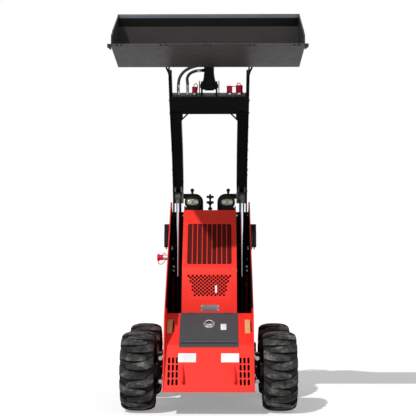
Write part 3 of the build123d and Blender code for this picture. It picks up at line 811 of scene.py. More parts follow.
def makeRims(sizes):
    for corner, (side, axleY) in wheelPlaces.items():
        centre = Vector((side * tyreSizes["halfTrack"], axleY, tyreSizes["radius"]))
        bm = lathe([(x * side, r) for x, r in sizes["profile"]], centre, (1, 0, 0), 72)
        addLathe(bm, [(x * side, r) for x, r in sizes["hub"]], centre, (1, 0, 0), 40)
        finishBm(bm, f"rimPiece_{corner}", "rimBlack", f"wheel_{corner}", f"rim_{corner}", smooth=32)
        points = []
        for turn in (2 * pi * k / sizes["bolts"] for k in range(sizes["bolts"])):
            spoke = Vector((0, cos(turn), sin(turn))) * sizes["boltCircle"]
            points.append((centre + spoke + Vector((side * sizes["boltFace"], 0, 0)), (side, 0, 0)))
        addBolts(f"wheelNuts_{corner}", points, f"wheel_{corner}", 9)


makeRims(rimSizes)
print("wheels made")

# hood: punched sheet, grille bars and screen

noseFace = slope((-598.0, 153.0), (-424.0, 430.0))
deckFace = slope((-424.0, 430.0), (-150.0, 612.0))
chinFace = slope((-150.0, 688.0), (-85.0, 908.0))
browFace = slope((-85.0, 908.0), (245.0, 1309.0))

hoodSizes = {
    "holeRadius": 8.6,
    "holePitch": 27.8,
    "rowRise": 12.0,
    "rowTop": 142.0,  # half width of the punched field at its top and bottom rows
    "rowBottom": 104.0,
    "fieldLow": 34.0,  # up the chin from its foot
    "fieldHigh": 176.0,
}


def punchTree():
    # hexagonal holes cut through a sheet at every point
    tree, entry = newTree("punchedSheet", {"Hole Points": None, "Hole Radius": 0.005})
    points = addNode(tree, "GeometryNodeObjectInfo", {"Object": entry["Hole Points"]}, "Geometry")
    punches = scatter(tree, points, cylinder(tree, 6, entry["Hole Radius"], 0.03), facingRotation(tree))
    tools = addNode(tree, "GeometryNodeRealizeInstances", {"Geometry": punches})
    sheets = {"Mesh 1": entry["Geometry"], "Mesh 2": tools}
    return closeTree(tree, entry, addNode(tree, "GeometryNodeMeshBoolean", sheets, operation="DIFFERENCE"))


def makeHood(sizes):
    pitch = sizes["holePitch"]
    rows = int((sizes["fieldHigh"] - sizes["fieldLow"]) / sizes["rowRise"]) + 1
    holes = []
    for row in range(rows):
        share = row / (rows - 1)
        half = sizes["rowTop"] + (sizes["rowBottom"] - sizes["rowTop"]) * share
        offset = pitch / 2 if row % 2 else 0.0
        xs = [offset + k * pitch for k in range(int((half - offset) / pitch) + 1)]
        for x in sorted({round(side * x, 3) for x in xs for side in bothSides}):
            holes.append((on(chinFace, sizes["fieldHigh"] - row * sizes["rowRise"], 0, x), chinFace["out"]))
    hood = easedPiece("hood", "hoodShell", "machineRed", "chassis", 1.8, 3)
    points = bpy.data.objects.new("holePoints", pointMesh("holePoints", holes))
    values = {"Hole Points": points, "Hole Radius": sizes["holeRadius"] * mm, "Finish": skins["machineRed"]}
    runTree(hood, punchTree(), values)
    bpy.data.objects.remove(points)
    print("holes", len(holes))


makeHood(hoodSizes)

grilleSizes = {"half": 150.0, "low": 36.0, "high": 392.0, "bars": 8, "barHalf": 2.75}


def makeGrille(sizes):
    half, rise = sizes["half"], (sizes["low"] + sizes["high"]) / 2
    tall = (sizes["high"] - sizes["low"]) / 2
    bars, screen = newMeshes(2)
    for k in range(sizes["bars"]):
        x = (k - (sizes["bars"] - 1) / 2) * 2 * half / (sizes["bars"] + 1)
        outline = rectangle(x - sizes["barHalf"], x + sizes["barHalf"], -tall, tall)
        addPlate(bars, outline, on(browFace, rise, -3.8), browFace["plane"], 2.6, 0.6)
    outline = rectangle(-half - 10, half + 10, -tall - 8, tall + 8)
    addPlate(screen, outline, on(browFace, rise, -6.2), browFace["plane"], 1.6, 0.2)
    finishBm(bars, "grilleBars", "machineRed", "chassis")
    finishBm(screen, "grilleScreen", "screenDark", "chassis", "hood_grille")


makeGrille(grilleSizes)
print("hood made")

# nose, deck and hood fittings

plateTable = [
    # name, face, middle x, distance up, wide, tall, lift off the sheet, skin
    ("noseStickerRight", noseFace, -137, 236, 113, 62, 0.1, "stickerWhite"),
    ("noseStickerLeft", noseFace, 135, 236, 113, 62, 0.1, "stickerWhite"),
    ("lidSticker", deckFace, 94, 178, 37, 62, 3.1, "stickerWhite"),
    ("deckLabelRight", deckFace, -256, 188, 33, 140, 0.1, "labelTan"),
    ("deckLabelLeft", deckFace, 250, 188, 33, 140, 0.1, "labelTan"),
    # dark strips beside the labels: painted shadows cast by them
    ("deckSlitRight", deckFace, -233, 182, 8, 118, 0.1, "blackPlastic"),
    ("deckSlitLeft", deckFace, 273, 182, 7, 118, 0.1, "blackPlastic"),
    ("chinSticker", chinFace, 45, 86, 13, 52, 0.1, "stickerWhite"),
]
for name, face, x, rise, wide, tall, lift, skin in plateTable:
    bm = bmesh.new()
    addPlate(bm, roundedOutline(wide, tall, 3.0), on(face, rise, lift, x), face["plane"], 0.5, 0.15)
    finishBm(bm, name, skin, "chassis")

namePlate = {"middle": 5.0, "height": 646.0, "wide": 122.0, "tall": 40.0, "face": -150.0, "rivets": (54, 14)}


def makeNamePlate(sizes):
    # a bare plate held by a rivet at each corner
    bm = bmesh.new()
    x, y, z = sizes["middle"], sizes["face"], sizes["height"]
    addPlate(bm, roundedOutline(sizes["wide"], sizes["tall"], 5), (x, y - 0.1, z), crossPlane, 1.4, 0.4)
    finishBm(bm, "namePlate", "plateSteel", "chassis")
    dx, dz = sizes["rivets"]
    rivets = [((x + sx * dx, y - 1.6, z + sz * dz), ahead) for sx in bothSides for sz in bothSides]
    addBolts("namePlateRivets", rivets, "chassis", 2.2)


makeNamePlate(namePlate)

capSizes = {
    "up": 204.0,
    "ring": [
        (0, 24), (0, 38), (4.5, 38), (7, 36), (7, 32.5), (10, 31.5), (12.5, 31.5), (15.5, 29.5), (16, 26),
        (13, 23), (13, 18), (8, 18),
    ],
    "dome": [(8, 0), (8, 22.5), (13.5, 22.5), (16.5, 20), (18.3, 12), (18.9, 0)],
}


def makeFuelCap(sizes):
    home = on(deckFace, sizes["up"], 3.0)
    ring = lathe(sizes["ring"], home, deckFace["out"], 72)
    finishBm(ring, "fuelCapRing", "boltZinc", "chassis", "fuel_cap", smooth=35)
    dome = lathe(sizes["dome"], home, deckFace["out"], 48)
    addPlate(dome, roundedOutline(5, 15, 2), home + deckFace["out"] * 18.4, deckFace["plane"], 0.7, 0.2)
    finishBm(dome, "fuelCapDome", "rodChrome", "chassis", smooth=35)


makeFuelCap(capSizes)

lidSizes = {"half": 182.0, "lift": 3.1, "hinges": (-120, 120), "hingeHalf": 26, "hingeRise": 322}


def makeLidTrim(sizes):
    # a lighter strip across the lid, painted highlight on its fold, over a darker strip, painted shade on its
    # turned-down hem, and the hinges along its top edge
    creaseHighlight, hemShade, hinges = newMeshes(3)
    half, foot = sizes["half"], on(deckFace, 0, sizes["lift"])
    addPlate(hemShade, rectangle(-half, half, 5, 23), foot, deckFace["plane"], 0.8, 0.3)
    addPlate(creaseHighlight, rectangle(-half, half, 24, 30), foot, deckFace["plane"], 1.6, 0.7)
    for x in sizes["hinges"]:
        ends = [on(deckFace, sizes["hingeRise"], 4.0, x + side * sizes["hingeHalf"]) for side in bothSides]
        addBar(hinges, *ends, 4, 14)
    finishBm(creaseHighlight, "lidCrease", "dustySteel", "chassis")
    finishBm(hemShade, "lidHem", "hemGrey", "chassis")
    finishBm(hinges, "lidHinges", "lidGrey", "chassis")


makeLidTrim(lidSizes)


hoodShadeSheets = [
    # face, distance up, distance behind it, half width, half height
    (chinFace, 108, 30, 160, 90),
    (browFace, 205, 34, 165, 200),
]


def makeHoodShadeSheets(sheets):
    # a dark sheet behind the punched field and the grille: painted shade of the engine bay
    bm = bmesh.new()
    for face, rise, behind, wide, tall in sheets:
        addPlate(bm, rectangle(-wide, wide, -tall, tall), on(face, rise, -behind), face["plane"], 6, 1.0)
    finishBm(bm, "hoodLiner", "blackPlastic", "chassis")


makeHoodShadeSheets(hoodShadeSheets)
print("nose and hood fittings made")

# lamps and couplers

lampSizes = {
    "x": 122.0,
    "z": 1366.0,
    "front": 262.0,
    "case": (112, 74, 30, 8),  # wide, tall, corner and its steps
    "caseDepth": 38,
    "bezel": (82, 42, 20, 9),
    "foot": [(78, 1309.2), (180, 1309.2), (160, 1346), (84, 1346)],
    "fins": 5,  # cooling fins on the back of the case
    "finStep": 16,
    "finDepth": (303, 316),
    "eyeStep": 19.5,
    "bowl": [(-0.5, 18.6), (0.9, 18.2), (0.9, 16.6), (-0.3, 15.4), (-0.5, 15.4)],
    "dome": [(-0.4, 0), (-0.4, 15.4), (0.3, 15), (1.0, 9), (1.3, 0)],
    "chipStep": 5.5,
}


def makeWorkLamps(sizes):
    cases, rings, lenses, chips = newMeshes(4)
    front, z, step, depth = sizes["front"], sizes["z"], sizes["chipStep"], sizes["caseDepth"]
    for side in bothSides:
        x = side * sizes["x"]
        addPlate(cases, roundedOutline(*sizes["case"]), (x, front + 42, z), crossPlane, depth, 5.0)
        addPlate(cases, mirrored(sizes["foot"], side), (0, front + 42, 0), crossPlane, 30, 2.0)
        near, far = sizes["finDepth"]
        for k in range(sizes["fins"]):
            fin = x + (k - 2) * sizes["finStep"]
            addBlock(cases, (fin - 2, near, z - 24), (fin + 2, far, z + 24), 0.8)
        addPlate(rings, roundedOutline(*sizes["bezel"]), (x, front + 5, z), crossPlane, 3.4, 1.2)
        for part in bothSides:
            eye = Vector((x + part * sizes["eyeStep"], front + 1.4, z))
            addLathe(cases, sizes["bowl"], eye, ahead, 40)
            addLathe(lenses, sizes["dome"], eye, ahead, 32)
            for dx in (-step, 0, step):
                for dz in (-step, 0, step):
                    chip = eye + Vector((dx, 0, dz))
                    addBlock(chips, chip - Vector((1.9, 2, 1.9)), chip + Vector((1.9, -1, 1.9)), 0.3)
    finishBm(cases, "lampCases", "blackPlastic", "chassis", "work_lamps")
    finishBm(rings, "lampRings", "bezelSteel", "chassis", smooth=30)
    finishBm(lenses, "lampLenses", "lensGlass", "chassis", smooth=60)
    finishBm(chips, "lampChips", "chipGreen", "chassis")


makeWorkLamps(lampSizes)

sideLampSizes = {
    "low": 1045,
    "inner": 287.5,
    "outer": 335.5,
    "ribs": 6,
    "ribStep": 18,
    "ribSpan": (508, 582),
    "lens": (15, 92, 5),  # wide, tall, corner
    "lensPlace": (500.4, 1105),
    "bolt": (520, 1047, 1031),  # y, top, foot
    "knob": (545, 1163),
}


def makeSideLamps(sizes):
    easedPiece("side_lamps", "sideLampBoxes", "blackPlastic", "chassis", 4.0, 3)
    ribs, lenses = newMeshes(2)
    for side in bothSides:
        low, high = between(side, sizes["outer"] - 3, sizes["outer"] + 1.5)
        near, far = sizes["ribSpan"]
        for z in (sizes["low"] + 14 + k * sizes["ribStep"] for k in range(sizes["ribs"])):
            addBlock(ribs, (low, near, z - 3), (high, far, z + 3), 1.2)
        middle = side * (sizes["inner"] + 24)
        y, top, foot = sizes["bolt"]
        for part in bothSides:  # a lens, and a bolt of the bracket under the lamp
            home = (middle + part * 9.5, *sizes["lensPlace"])
            addPlate(lenses, roundedOutline(*sizes["lens"]), home, crossPlane, 2.2, 0.8)
            addBar(ribs, (middle + part * 9, y, top), (middle + part * 9, y, foot), 4.5, 12)
        addBar(ribs, (middle - 12, *sizes["knob"]), (middle + 12, *sizes["knob"]), 20, 32)
    finishBm(ribs, "sideLampRibs", "blackPlastic", "chassis")
    finishBm(lenses, "sideLampLenses", "smokedLens", "chassis")


makeSideLamps(sideLampSizes)

couplerSizes = {
    "y": -168.34,
    "surface": 2066.0,  # the crossbar's upper face
    "caps": [(-97, 19, 2117), (135, 20, 2123), (200, 25, 2126)],  # x, radius, top z
    "straps": [
        # thickness, then (x, z) along the tether
        (2.6, [(-104, 2108), (-104, 2122), (-96, 2139), (-84, 2140), (-77, 2122), (-80, 2092), (-86, 2076)]),
        (2.4, [(139, 2116), (146, 2122), (160, 2121), (176, 2121), (190, 2120)]),
        (2.8, [(186, 2118), (183, 2130), (190, 2143), (202, 2142), (212, 2130), (216, 2114)]),
    ],
    "stems": (-206, -144),
    "stem": [
        (0, 0), (0, 10.5), (14, 10.5), (15, 8.5), (20, 8.5), (21, 11), (42, 11), (43.6, 10.2), (43.6, 0),
    ],
    "nut": [(2, 0), (2, 11), (13, 11), (13, 0)],
}


def makeCouplers(sizes):
    y, surface = sizes["y"], sizes["surface"]
    caps, fittings = newMeshes(2)
    for x, radius, top in sizes["caps"]:
        home, tall = (x, y, surface - 3), top - surface + 3
        body = [(0, 0), (0, 0.78), (16, 0.78), (16, 0.6), (22, 0.6), (22, 0)]
        cup = [
            (12, 0), (12, 0.9), (13, 1), (18, 1), (19, 0.93), (tall - 9, 0.93), (tall - 7, 1),
            (tall - 2, 1), (tall, 0.86), (tall, 0),
        ]
        addLathe(fittings, [(z, share * radius) for z, share in body], home, upright, 32)
        addLathe(caps, [(z, share * radius) for z, share in cup], home, upright, 40)
    for thickness, places in sizes["straps"]:
        addStrap(caps, [(x, y, z) for x, z in places], thickness)
    for x in sizes["stems"]:
        addLathe(fittings, sizes["stem"], (x, y, surface), upright, 36)
        addLathe(fittings, sizes["nut"], (x, y, surface), upright, 6)
    finishBm(caps, "dustCaps", "capRed", "arms", "hydraulic_couplers", smooth=35)
    finishBm(fittings, "hoseFittings", "boltZinc", "arms", smooth=30)


makeCouplers(couplerSizes)

auxSizes = {
    "home": (-287.5, 60.0, 978.0),
    "body": [(-6, 0), (-6, 24), (2, 24), (3, 18), (26, 18), (27, 15), (40, 15), (40, 0)],
    "cap": [(30, 0), (30, 17), (32, 19), (54, 19), (56, 24), (68, 24), (71.5, 20), (71.5, 0)],
    "tether": [(-350, 60, 956), (-352, 58, 938), (-336, 54, 930), (-316, 54, 938), (-303, 56, 958)],
    "loop": [(-322, 60, 996), (-318, 60, 1008), (-306, 60, 1008), (-298, 60, 996)],
}


def makeAuxCoupler(sizes):
    body = lathe(sizes["body"], sizes["home"], (-1, 0, 0), 40)
    finishBm(body, "auxCouplerBody", "boltZinc", "chassis", "aux_coupler", smooth=30)
    cap = lathe(sizes["cap"], sizes["home"], (-1, 0, 0), 40)
    addStrap(cap, sizes["tether"], 2.6)
    addStrap(cap, sizes["loop"], 2.4)
    finishBm(cap, "auxCouplerCap", "capRed", "chassis", smooth=35)


makeAuxCoupler(auxSizes)
print("lamps and couplers made")

# bolts on the frame, the wheels' motors, the arms and the bucket

boltPlaces = {
    "motor": {"face": 301.6, "circle": 70, "z": 254},
    "wallFace": 287.6,
    "wall": [
        (437, 1035), (150, 235), (600, 1240), (600, 240), (-460, 240), (-460, 360), (330, 900), (120, 700),
    ],
    "armFace": 265.1,
    "arm": [(-146, 2030), (217, 1730), (310, 1600), (-60, 1957)],
    "guard": {"x": (196, 268), "z": (875, 1280), "front": 566.8, "back": 573.2},
    "lip": (-982, 2246),
    "lipPitch": 262,
}


def makeBolts(places):
    motor, flange = places["motor"], []
    for side, axleY in wheelPlaces.values():
        for turn in (radians(30 + 60 * k) for k in range(6)):
            y, z = axleY + motor["circle"] * cos(turn), motor["z"] + motor["circle"] * sin(turn)
            flange.append(((side * motor["face"], y, z), (side, 0, 0)))
    addBolts("motorBolts", flange, "chassis", 7)
    flanks = {}
    for key in ("wall", "arm"):
        pairs = [(side, place) for side in bothSides for place in places[key]]
        flanks[key] = [((side * places[key + "Face"], *place), (side, 0, 0)) for side, place in pairs]
    addBolts("sidePlateBolts", flanks["wall"], "chassis", 9)
    guard, guards = places["guard"], []
    for side in bothSides:
        for z in guard["z"]:
            for x in guard["x"]:
                guards += [((side * x, guard["front"], z), ahead), ((side * x, guard["back"], z), aback)]
    addBolts("guardBolts", guards, "chassis", 5)
    addBolts("armBolts", flanks["arm"], "arms", 8)
    lipRun = Vector((0, 483, -54)).normalized()
    lipDown = Vector((0, lipRun.z, -lipRun.y))
    edge = []
    for x in ((k - 2) * places["lipPitch"] + part for k in range(5) for part in (-14, 14)):
        edge.append((Vector((x, *places["lip"])) + lipRun * 22 + lipDown * 0.2, lipDown))
    addBolts("edgeBolts", edge, "bucket", 6, "castIron")


makeBolts(boltPlaces)
print("bolts set")

# the lift cylinders' rods, the arms' details and the crossbar's trim

rodSizes = {"foot": (150.0, 235.0), "eye": (320.0, 1403.0), "start": 590.0, "radius": 12.5, "x": 226.0}


def makeLiftRods(sizes):
    face = slope(sizes["foot"], sizes["eye"])
    run, radius = face["run"], sizes["radius"]
    shafts, eyes = newMeshes(2)
    for x in (side * sizes["x"] for side in bothSides):
        eye = Vector((x, *sizes["eye"]))
        addBar(shafts, on(face, sizes["start"], 0, x), eye - run * 18, radius, 40)
        addBar(eyes, eye - run * 46, eye - run * 12, radius + 4, 32)
        for half, size, count in ((19, 24, 40), (21, 11, 24)):
            addBar(eyes, eye - Vector((half, 0, 0)), eye + Vector((half, 0, 0)), size, count)
    finishBm(shafts, "liftRodShafts", "rodChrome", "lift_rod_pair", "lift_rods")
    finishBm(eyes, "liftRodEyes", "forkGrey", "lift_rod_pair")


makeLiftRods(rodSizes)

beamSizes = {
    "centre": (-156.0, 2018.0),
    "half": 50.0,
    "turn": 66.0,
    "end": 256.0,
    "gusset": [(190, 0), (100, 0), (190, -90)],
    "window": [(179, -40), (152, -40), (179, -67)],
    "lipBolts": (-236, -212, 212, 236),
}


def addFramePlate(bm, outer, inner, home, plane, thickness):
    # a plate with one window, from two outlines of the same number of points
    right, up = Vector(plane[0]), Vector(plane[1])
    out = right.cross(up).normalized() * thickness * mm
    loops = []
    for outline in (outer, inner):
        flat = [(Vector(home) + right * u + up * v) * mm for u, v in outline]
        loops.append([bm.verts.new(p) for p in flat])
        loops.append([bm.verts.new(p + out) for p in flat])
    faces = []
    for a, b in ((0, 1), (2, 3), (0, 2), (1, 3)):
        lower, upper = loops[a], loops[b]
        for k in range(len(outer)):
            n = (k + 1) % len(outer)
            faces.append(bm.faces.new((lower[k], lower[n], upper[n], upper[k])))
    bmesh.ops.recalc_face_normals(bm, faces=faces)


def makeCrossbarTrim(sizes):
    turn, half, end = radians(sizes["turn"]), sizes["half"], sizes["end"]
    run = Vector((0, -cos(turn), sin(turn)))
    out = Vector((0, -run.z, run.y))  # towards the nose
    centre, plane = Vector((0, *sizes["centre"])), ((1, 0, 0), run)
    foot = centre - run * half
    gussets, lip, sheenSheet = newMeshes(3)
    for side in bothSides:
        outer, window = ([(side * u, v) for u, v in sizes[key]] for key in ("gusset", "window"))
        addFramePlate(gussets, outer, window, foot - out * 30, plane, 10)
    addPlate(lip, rectangle(-end, end, -36, 0), foot - out * 10, plane, 8, 1.5)
    for x in sizes["lipBolts"]:
        place = foot - run * 29 + Vector((x, 0, 0))
        addBar(lip, place - out * 2, place + out * 5, 5, 12)
    # a lighter sheet on the crossbar's upper face: dust with painted sheen of the sky
    top = centre + run * (half + 0.2) - out * half * 0.94
    addPlate(sheenSheet, rectangle(-254, 254, 0, 94), top, ((-1, 0, 0), out), 0.9, 0.3)
    finishBm(gussets, "cornerGussets", "frameBlack", "arms", "arm_gussets")
    finishBm(lip, "crossbarLip", "frameBlack", "arms")
    finishBm(sheenSheet, "crossbarTop", "dustySteel", "arms")


makeCrossbarTrim(beamSizes)

armSizes = {
    "tube": (372, 1484),
    "taper": [(300, 1440), (372, 1440), (392, 1520), (352, 1530)],
    "web": [(360, 1446), (372, 1446), (378, 1530), (366, 1530)],
    "collars": [(437, 1035, 30), (-410, 2330, 21)],  # y, z, radius
    "keepers": [(-60, 1957), (40, 1875), (150, 1785), (262, 1665), (330, 1560), (385, 1450)],
    "flare": [
        (257, 2150), (265, 2150), (266, 2172), (272, 2196), (286, 2224), (286, 2236), (278, 2236),
        (260, 2196), (257, 2172),
    ],
}


def makeArmDetails(sizes):
    # rounded tube ends, the plates that taper to the forks, pin collars and flared tips
    black, grey, flares = newMeshes(3)

    def addDisc(side, inner, outer, y, z, radius, count):
        low, high = between(side, inner, outer)
        addBar(black, (low, y, z), (high, y, z), radius, count)

    for side in bothSides:
        addDisc(side, 191, 256, *sizes["tube"], 44, 32)
        for outline, inner, thickness in (("taper", 198, 10), ("taper", 242, 10), ("web", 205, 44)):
            low, high = between(side, inner, inner + thickness)
            addPlate(grey, sizes[outline], (low, 0, 0), sidePlane, thickness, 1.2)
        for y, z, radius in sizes["collars"]:
            addDisc(side, 265, 269, y, z, radius, 32)
        for y, z in sizes["keepers"]:  # along the outer edge of each plate
            addDisc(side, 265, 268.5, y, z, 7, 14)
        addPlate(flares, mirrored(sizes["flare"], side), (0, -262, 0), crossPlane, 30, 1.5)
    finishBm(black, "armCollars", "frameBlack", "arms")
    finishBm(grey, "forkTapers", "forkGrey", "arms")
    finishBm(flares, "armFlares", "frameBlack", "arms")


makeArmDetails(armSizes)
print("arm details made")

# bucket trim and the tilt cylinder's foot

bucketTrim = {
    "heel": (-499.0, 2192.0),
    "lip": (-982.0, 2246.0),
    "half": 566.0,
    "winglet": (569, 593),
    "bead": [(571, -535, 2516), (571, -880, 2345)],  # along the top of each end plate
    "rim": (-539.1, 2497, 2521),
    "fold": [(-539, 2496), (-507.3, 2450), (-507.3, 2496)],
}


def makeBucketTrim(sizes):
    winglets, rim, fold = newMeshes(3)
    half = sizes["half"]
    home = Vector((0, *sizes["lip"])) - slope(sizes["heel"], sizes["lip"])["run"] * 6
    for side in bothSides:
        low, high = between(side, *sizes["winglet"])
        drops = (16, 34) if side > 0 else (34, 16)
        outline = [(low, 0), (high, 0), (high, drops[0]), (low, drops[1])]
        addPlate(winglets, outline, home, ((1, 0, 0), (0, 0, -1)), 7, 1.0)
        addBar(fold, *[(side * x, y, z) for x, y, z in sizes["bead"]], 3.6, 14)
    y, low, high = sizes["rim"]
    # the rim bar's face in a lighter bluish grey: painted highlight
    addPlate(rim, rectangle(-half, half, low, high), (0, y, 0), crossPlane, 1.6, 0.5)
    addPlate(fold, sizes["fold"], (-half, 0, 0), sidePlane, 2 * half, 0.4)
    finishBm(winglets, "edgeWinglets", "bucketGrey", "bucket")
    finishBm(rim, "rimFace", "rimSteel", "bucket")
    finishBm(fold, "rimFold", "bucketGrey", "bucket")


makeBucketTrim(bucketTrim)

tiltSizes = {
    "foot": (-220.0, 2115.0),
    "pivot": (-410.0, 2330.0),
    "crank": 80.0,
    "crankAngle": 92.0,
    "block": [(-46, -10), (46, -10), (46, 14), (35, 60), (35, 78), (-35, 78), (-35, 60), (-46, 14)],
    "ear": [(-246, 2082), (-196, 2060), (-186, 2085), (-204, 2146), (-226, 2150), (-240, 2132)],
    "earSpan": (61.5, 67.5),
}


def makeTiltFoot(sizes):
    # the barrel's forged foot spreads towards its pin, between grey ears on the crossbar
    turn, (y, z) = radians(sizes["crankAngle"]), sizes["pivot"]
    face = slope(sizes["foot"], (y + sizes["crank"] * cos(turn), z + sizes["crank"] * sin(turn)))
    forged, ears = newMeshes(2)
    addPlate(forged, sizes["block"], on(face, 0, -19), face["plane"], 38, 3.0)
    addBar(forged, on(face, 0, 0, -44), on(face, 0, 0, 44), 24, 36)
    for side in bothSides:
        low, high = between(side, *sizes["earSpan"])
        addPlate(ears, sizes["ear"], (low, 0, 0), sidePlane, high - low, 1.2)
    finishBm(forged, "tiltFoot", "frameBlack", "tilt_cylinder_barrel")
    finishBm(ears, "tiltEarPlates", "forkGrey", "arms")


makeTiltFoot(tiltSizes)

gripSizes = {
    "y": 470.0,
    "grips": [  # z, profile
        (1397, [(0, 0), (0, 9), (6, 11), (14, 11), (18, 8), (20, 0)]),
        (1352, [(0, 0), (0, 7), (10, 15), (16, 17), (24, 9), (40, 6), (44, 0)]),
        (1318, [(0, 0), (0, 14), (8, 17), (16, 14), (22, 0)]),
    ],
    "rail": (132, 559.5, 1438),
    "knob": [(0, 0), (0, 8), (26, 10), (34, 7), (36, 0)],
}


def makeLeverGrips(sizes):
    # moulded grips over the bare lever at the middle, and a knob on each rail
    bm = bmesh.new()
    for z, profile in sizes["grips"]:
        addLathe(bm, profile, (0, sizes["y"], z), upright, 28)
    x, y, z = sizes["rail"]
    for side in bothSides:
        addLathe(bm, sizes["knob"], (side * x, y, z), upright, 28)
    finishBm(bm, "leverGrips", "blackPlastic", "chassis", smooth=50)


makeLeverGrips(gripSizes)

bracketSizes = {
    "span": (287.8, 325),
    "outline": [(-70, -70), (70, -70), (70, 96), (52, 118), (-52, 118), (-70, 96)],
    "axleZ": 254,
    "boltX": 309,
    "boltOut": 70.2,
    "boltZ": (195, 342),
    "panel": (262, 660.2),  # the rear panel's bolts: x, y, then their heights
    "panelZ": (190, 460, 730, 1000, 1225),
}


def makeMotorBrackets(sizes):
    # cast brackets that hold each drive motor to the side plate, and the rear panel's bolts
    castings, heads = bmesh.new(), []
    for side, axleY in wheelPlaces.values():
        low, high = between(side, *sizes["span"])
        home = (low, axleY, sizes["axleZ"])
        addPlate(castings, sizes["outline"], home, sidePlane, high - low, 4.0)
        for z in sizes["boltZ"]:
            for part in bothSides:
                heads.append(((side * sizes["boltX"], axleY + part * sizes["boltOut"], z), (0, part, 0)))
    finishBm(castings, "motorBrackets", "frameBlack", "chassis")
    addBolts("bracketBolts", heads, "chassis", 9)
    x, y = sizes["panel"]
    panel = [((side * x, y, z), aback) for side in bothSides for z in sizes["panelZ"]]
    addBolts("rearPanelBolts", panel, "chassis", 7)


makeMotorBrackets(bracketSizes)

# inside the slots: dark sheets as painted shade, vented blocks and bent pressure pipes

slotSizes = {
    "wall": 277.4,
    "thickness": 2.0,
    # outline of the dark sheet that stands for shade in each slot
    "liner": [(-385, 668), (430, 1330), (600, 1300), (600, 400), (-60, 400), (-140, 640)],
    # a pipe's route, with z from its own height
    "pipe": [
        (190, 530, 6), (198, 526, 6), (214, 520, -2), (236, 516, -26), (256, 522, -44), (272, 530, -46),
    ],
    "pipeTop": 1052,
    "pipeStep": 26,
    "vent": (200, 262, 872, 1014),  # inner and outer x, low and high z
    "ventDepth": (548, 562),
    "slats": range(885, 1010, 25),
    "boltZ": (1008, 956, 905),
}


def makeSlots(sizes):
    shadeSheets, vents, lines, pipes = newMeshes(4)
    for side in bothSides:
        # a dark sheet on the side plate's inner face: painted shade
        start = between(side, sizes["wall"], sizes["wall"] + sizes["thickness"])[0]
        addPlate(shadeSheets, sizes["liner"], (start, 0, 0), sidePlane, sizes["thickness"], 0.4)
        inner, outer, foot, top = sizes["vent"]
        front, back = sizes["ventDepth"]
        low, high = between(side, inner, outer)
        addBlock(vents, (low, front, foot), (high, back, top), 2.0)
        near, far = (0, 14) if side > 0 else (14, 0)
        for z in sizes["slats"]:
            slat = [(low + 6, near), (high - 6, far), (high - 6, far + 7), (low + 6, near + 7)]
            addPlate(vents, slat, (0, front, z), crossPlane, 5, 0.6)
        for k in range(4):  # two bright pipes over two black ones
            height = sizes["pipeTop"] - k * sizes["pipeStep"]
            places = [(side * x, y, z + height) for x, y, z in sizes["pipe"]]
            addStrap(lines if k < 2 else pipes, places, 5.5)
    finishBm(shadeSheets, "slotLiners", "frameBlack", "chassis")
    finishBm(vents, "ventBlocks", "forkGrey", "chassis")
    finishBm(lines, "brightPipes", "boltZinc", "chassis")
    finishBm(pipes, "blackPipes", "frameBlack", "chassis")
    heads = [((side * 268, 566.6, z), ahead) for side in bothSides for z in sizes["boltZ"]]
    addBolts("ventBolts", heads, "chassis", 6)


makeSlots(slotSizes)
print("slots filled")

# tilt hoses: each route is a row of steps in millimetres from the fitting's top

hoseSizes = {
    "start": (-168.34, 2109.68),
    "radius": 10,
    "collar": 11.2,
    "hoses": [
        ("tiltHoseOuter", "tilt_hose_outer", -206, 0.272,
         [(0, 0, 36), (10, -18, 36), (24, -30, 27), (34, -34, 17), (38, -30, 9), (44, -22, 6)]),
        ("tiltHoseInner", "tilt_hose_inner", -144, 0.208,
         [(0, 0, 30), (-4, -22, 33), (14, -30, 20), (24, -28, 11), (28, -20, 5), (26, -13, 0)]),
    ],
}


def makeHose(name, node, footX, length, steps):
    places = [Vector((footX, *hoseSizes["start"]))]
    for step in steps:
        places.append(places[-1] + Vector(step))
    hose = smoothTube(name, places, hoseSizes["radius"], 6, 24)
    hose.data.materials.append(skins["hoseCover"])
    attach(hose, "arms")
    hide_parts(node)
    ends = bmesh.new()
    first, last = places[0], places[-1]
    final = (last - places[-2]).normalized()
    addBar(ends, first - Vector((0, 0, 1)), first + Vector((0, 0, 22)), hoseSizes["collar"], 28)
    addBar(ends, last - final * 20, last + final * 1.5, hoseSizes["collar"], 28)
    collars = finishBm(ends, name + "Collars", "boltZinc", "arms")


for row in hoseSizes["hoses"]:
    makeHose(*row)
print("hoses made")

# operator's end: padded thigh rest, tread, control panel

padSizes = {
    "half": 180.0,
    "low": 720.0,
    "high": 1010.0,
    "back": 660.2,
    "depth": 44.0,
    "channels": (-0.36, 0.36),
    "channelWide": 0.028,
    "channelDeep": 6.5,
    "columns": 56,
    "rows": 44,
}


def padPoint(sizes, u, v):
    # crowned: full in the middle, thin round its rim, with two sewn channels
    rim = (max(0.0, 1 - abs(u) ** 5) * max(0.0, 1 - abs(v) ** 5)) ** 0.4
    crown = 0.82 + 0.18 * (1 - u * u) * (1 - v * v)
    steps = [((v - channel) / sizes["channelWide"]) ** 2 for channel in sizes["channels"]]
    sewn = sizes["channelDeep"] * sum(2.718**-step for step in steps)
    x = sizes["half"] * u * (1 - 0.025 * (1 - v * v) * abs(u) ** 4)
    middle, tall = (sizes["low"] + sizes["high"]) / 2, (sizes["high"] - sizes["low"]) / 2
    z = middle + tall * v * (1 - 0.03 * (1 - u * u) * abs(v) ** 4)
    return x, max(1.0, sizes["depth"] * rim * crown - sewn * (1 - abs(u) ** 12)), z


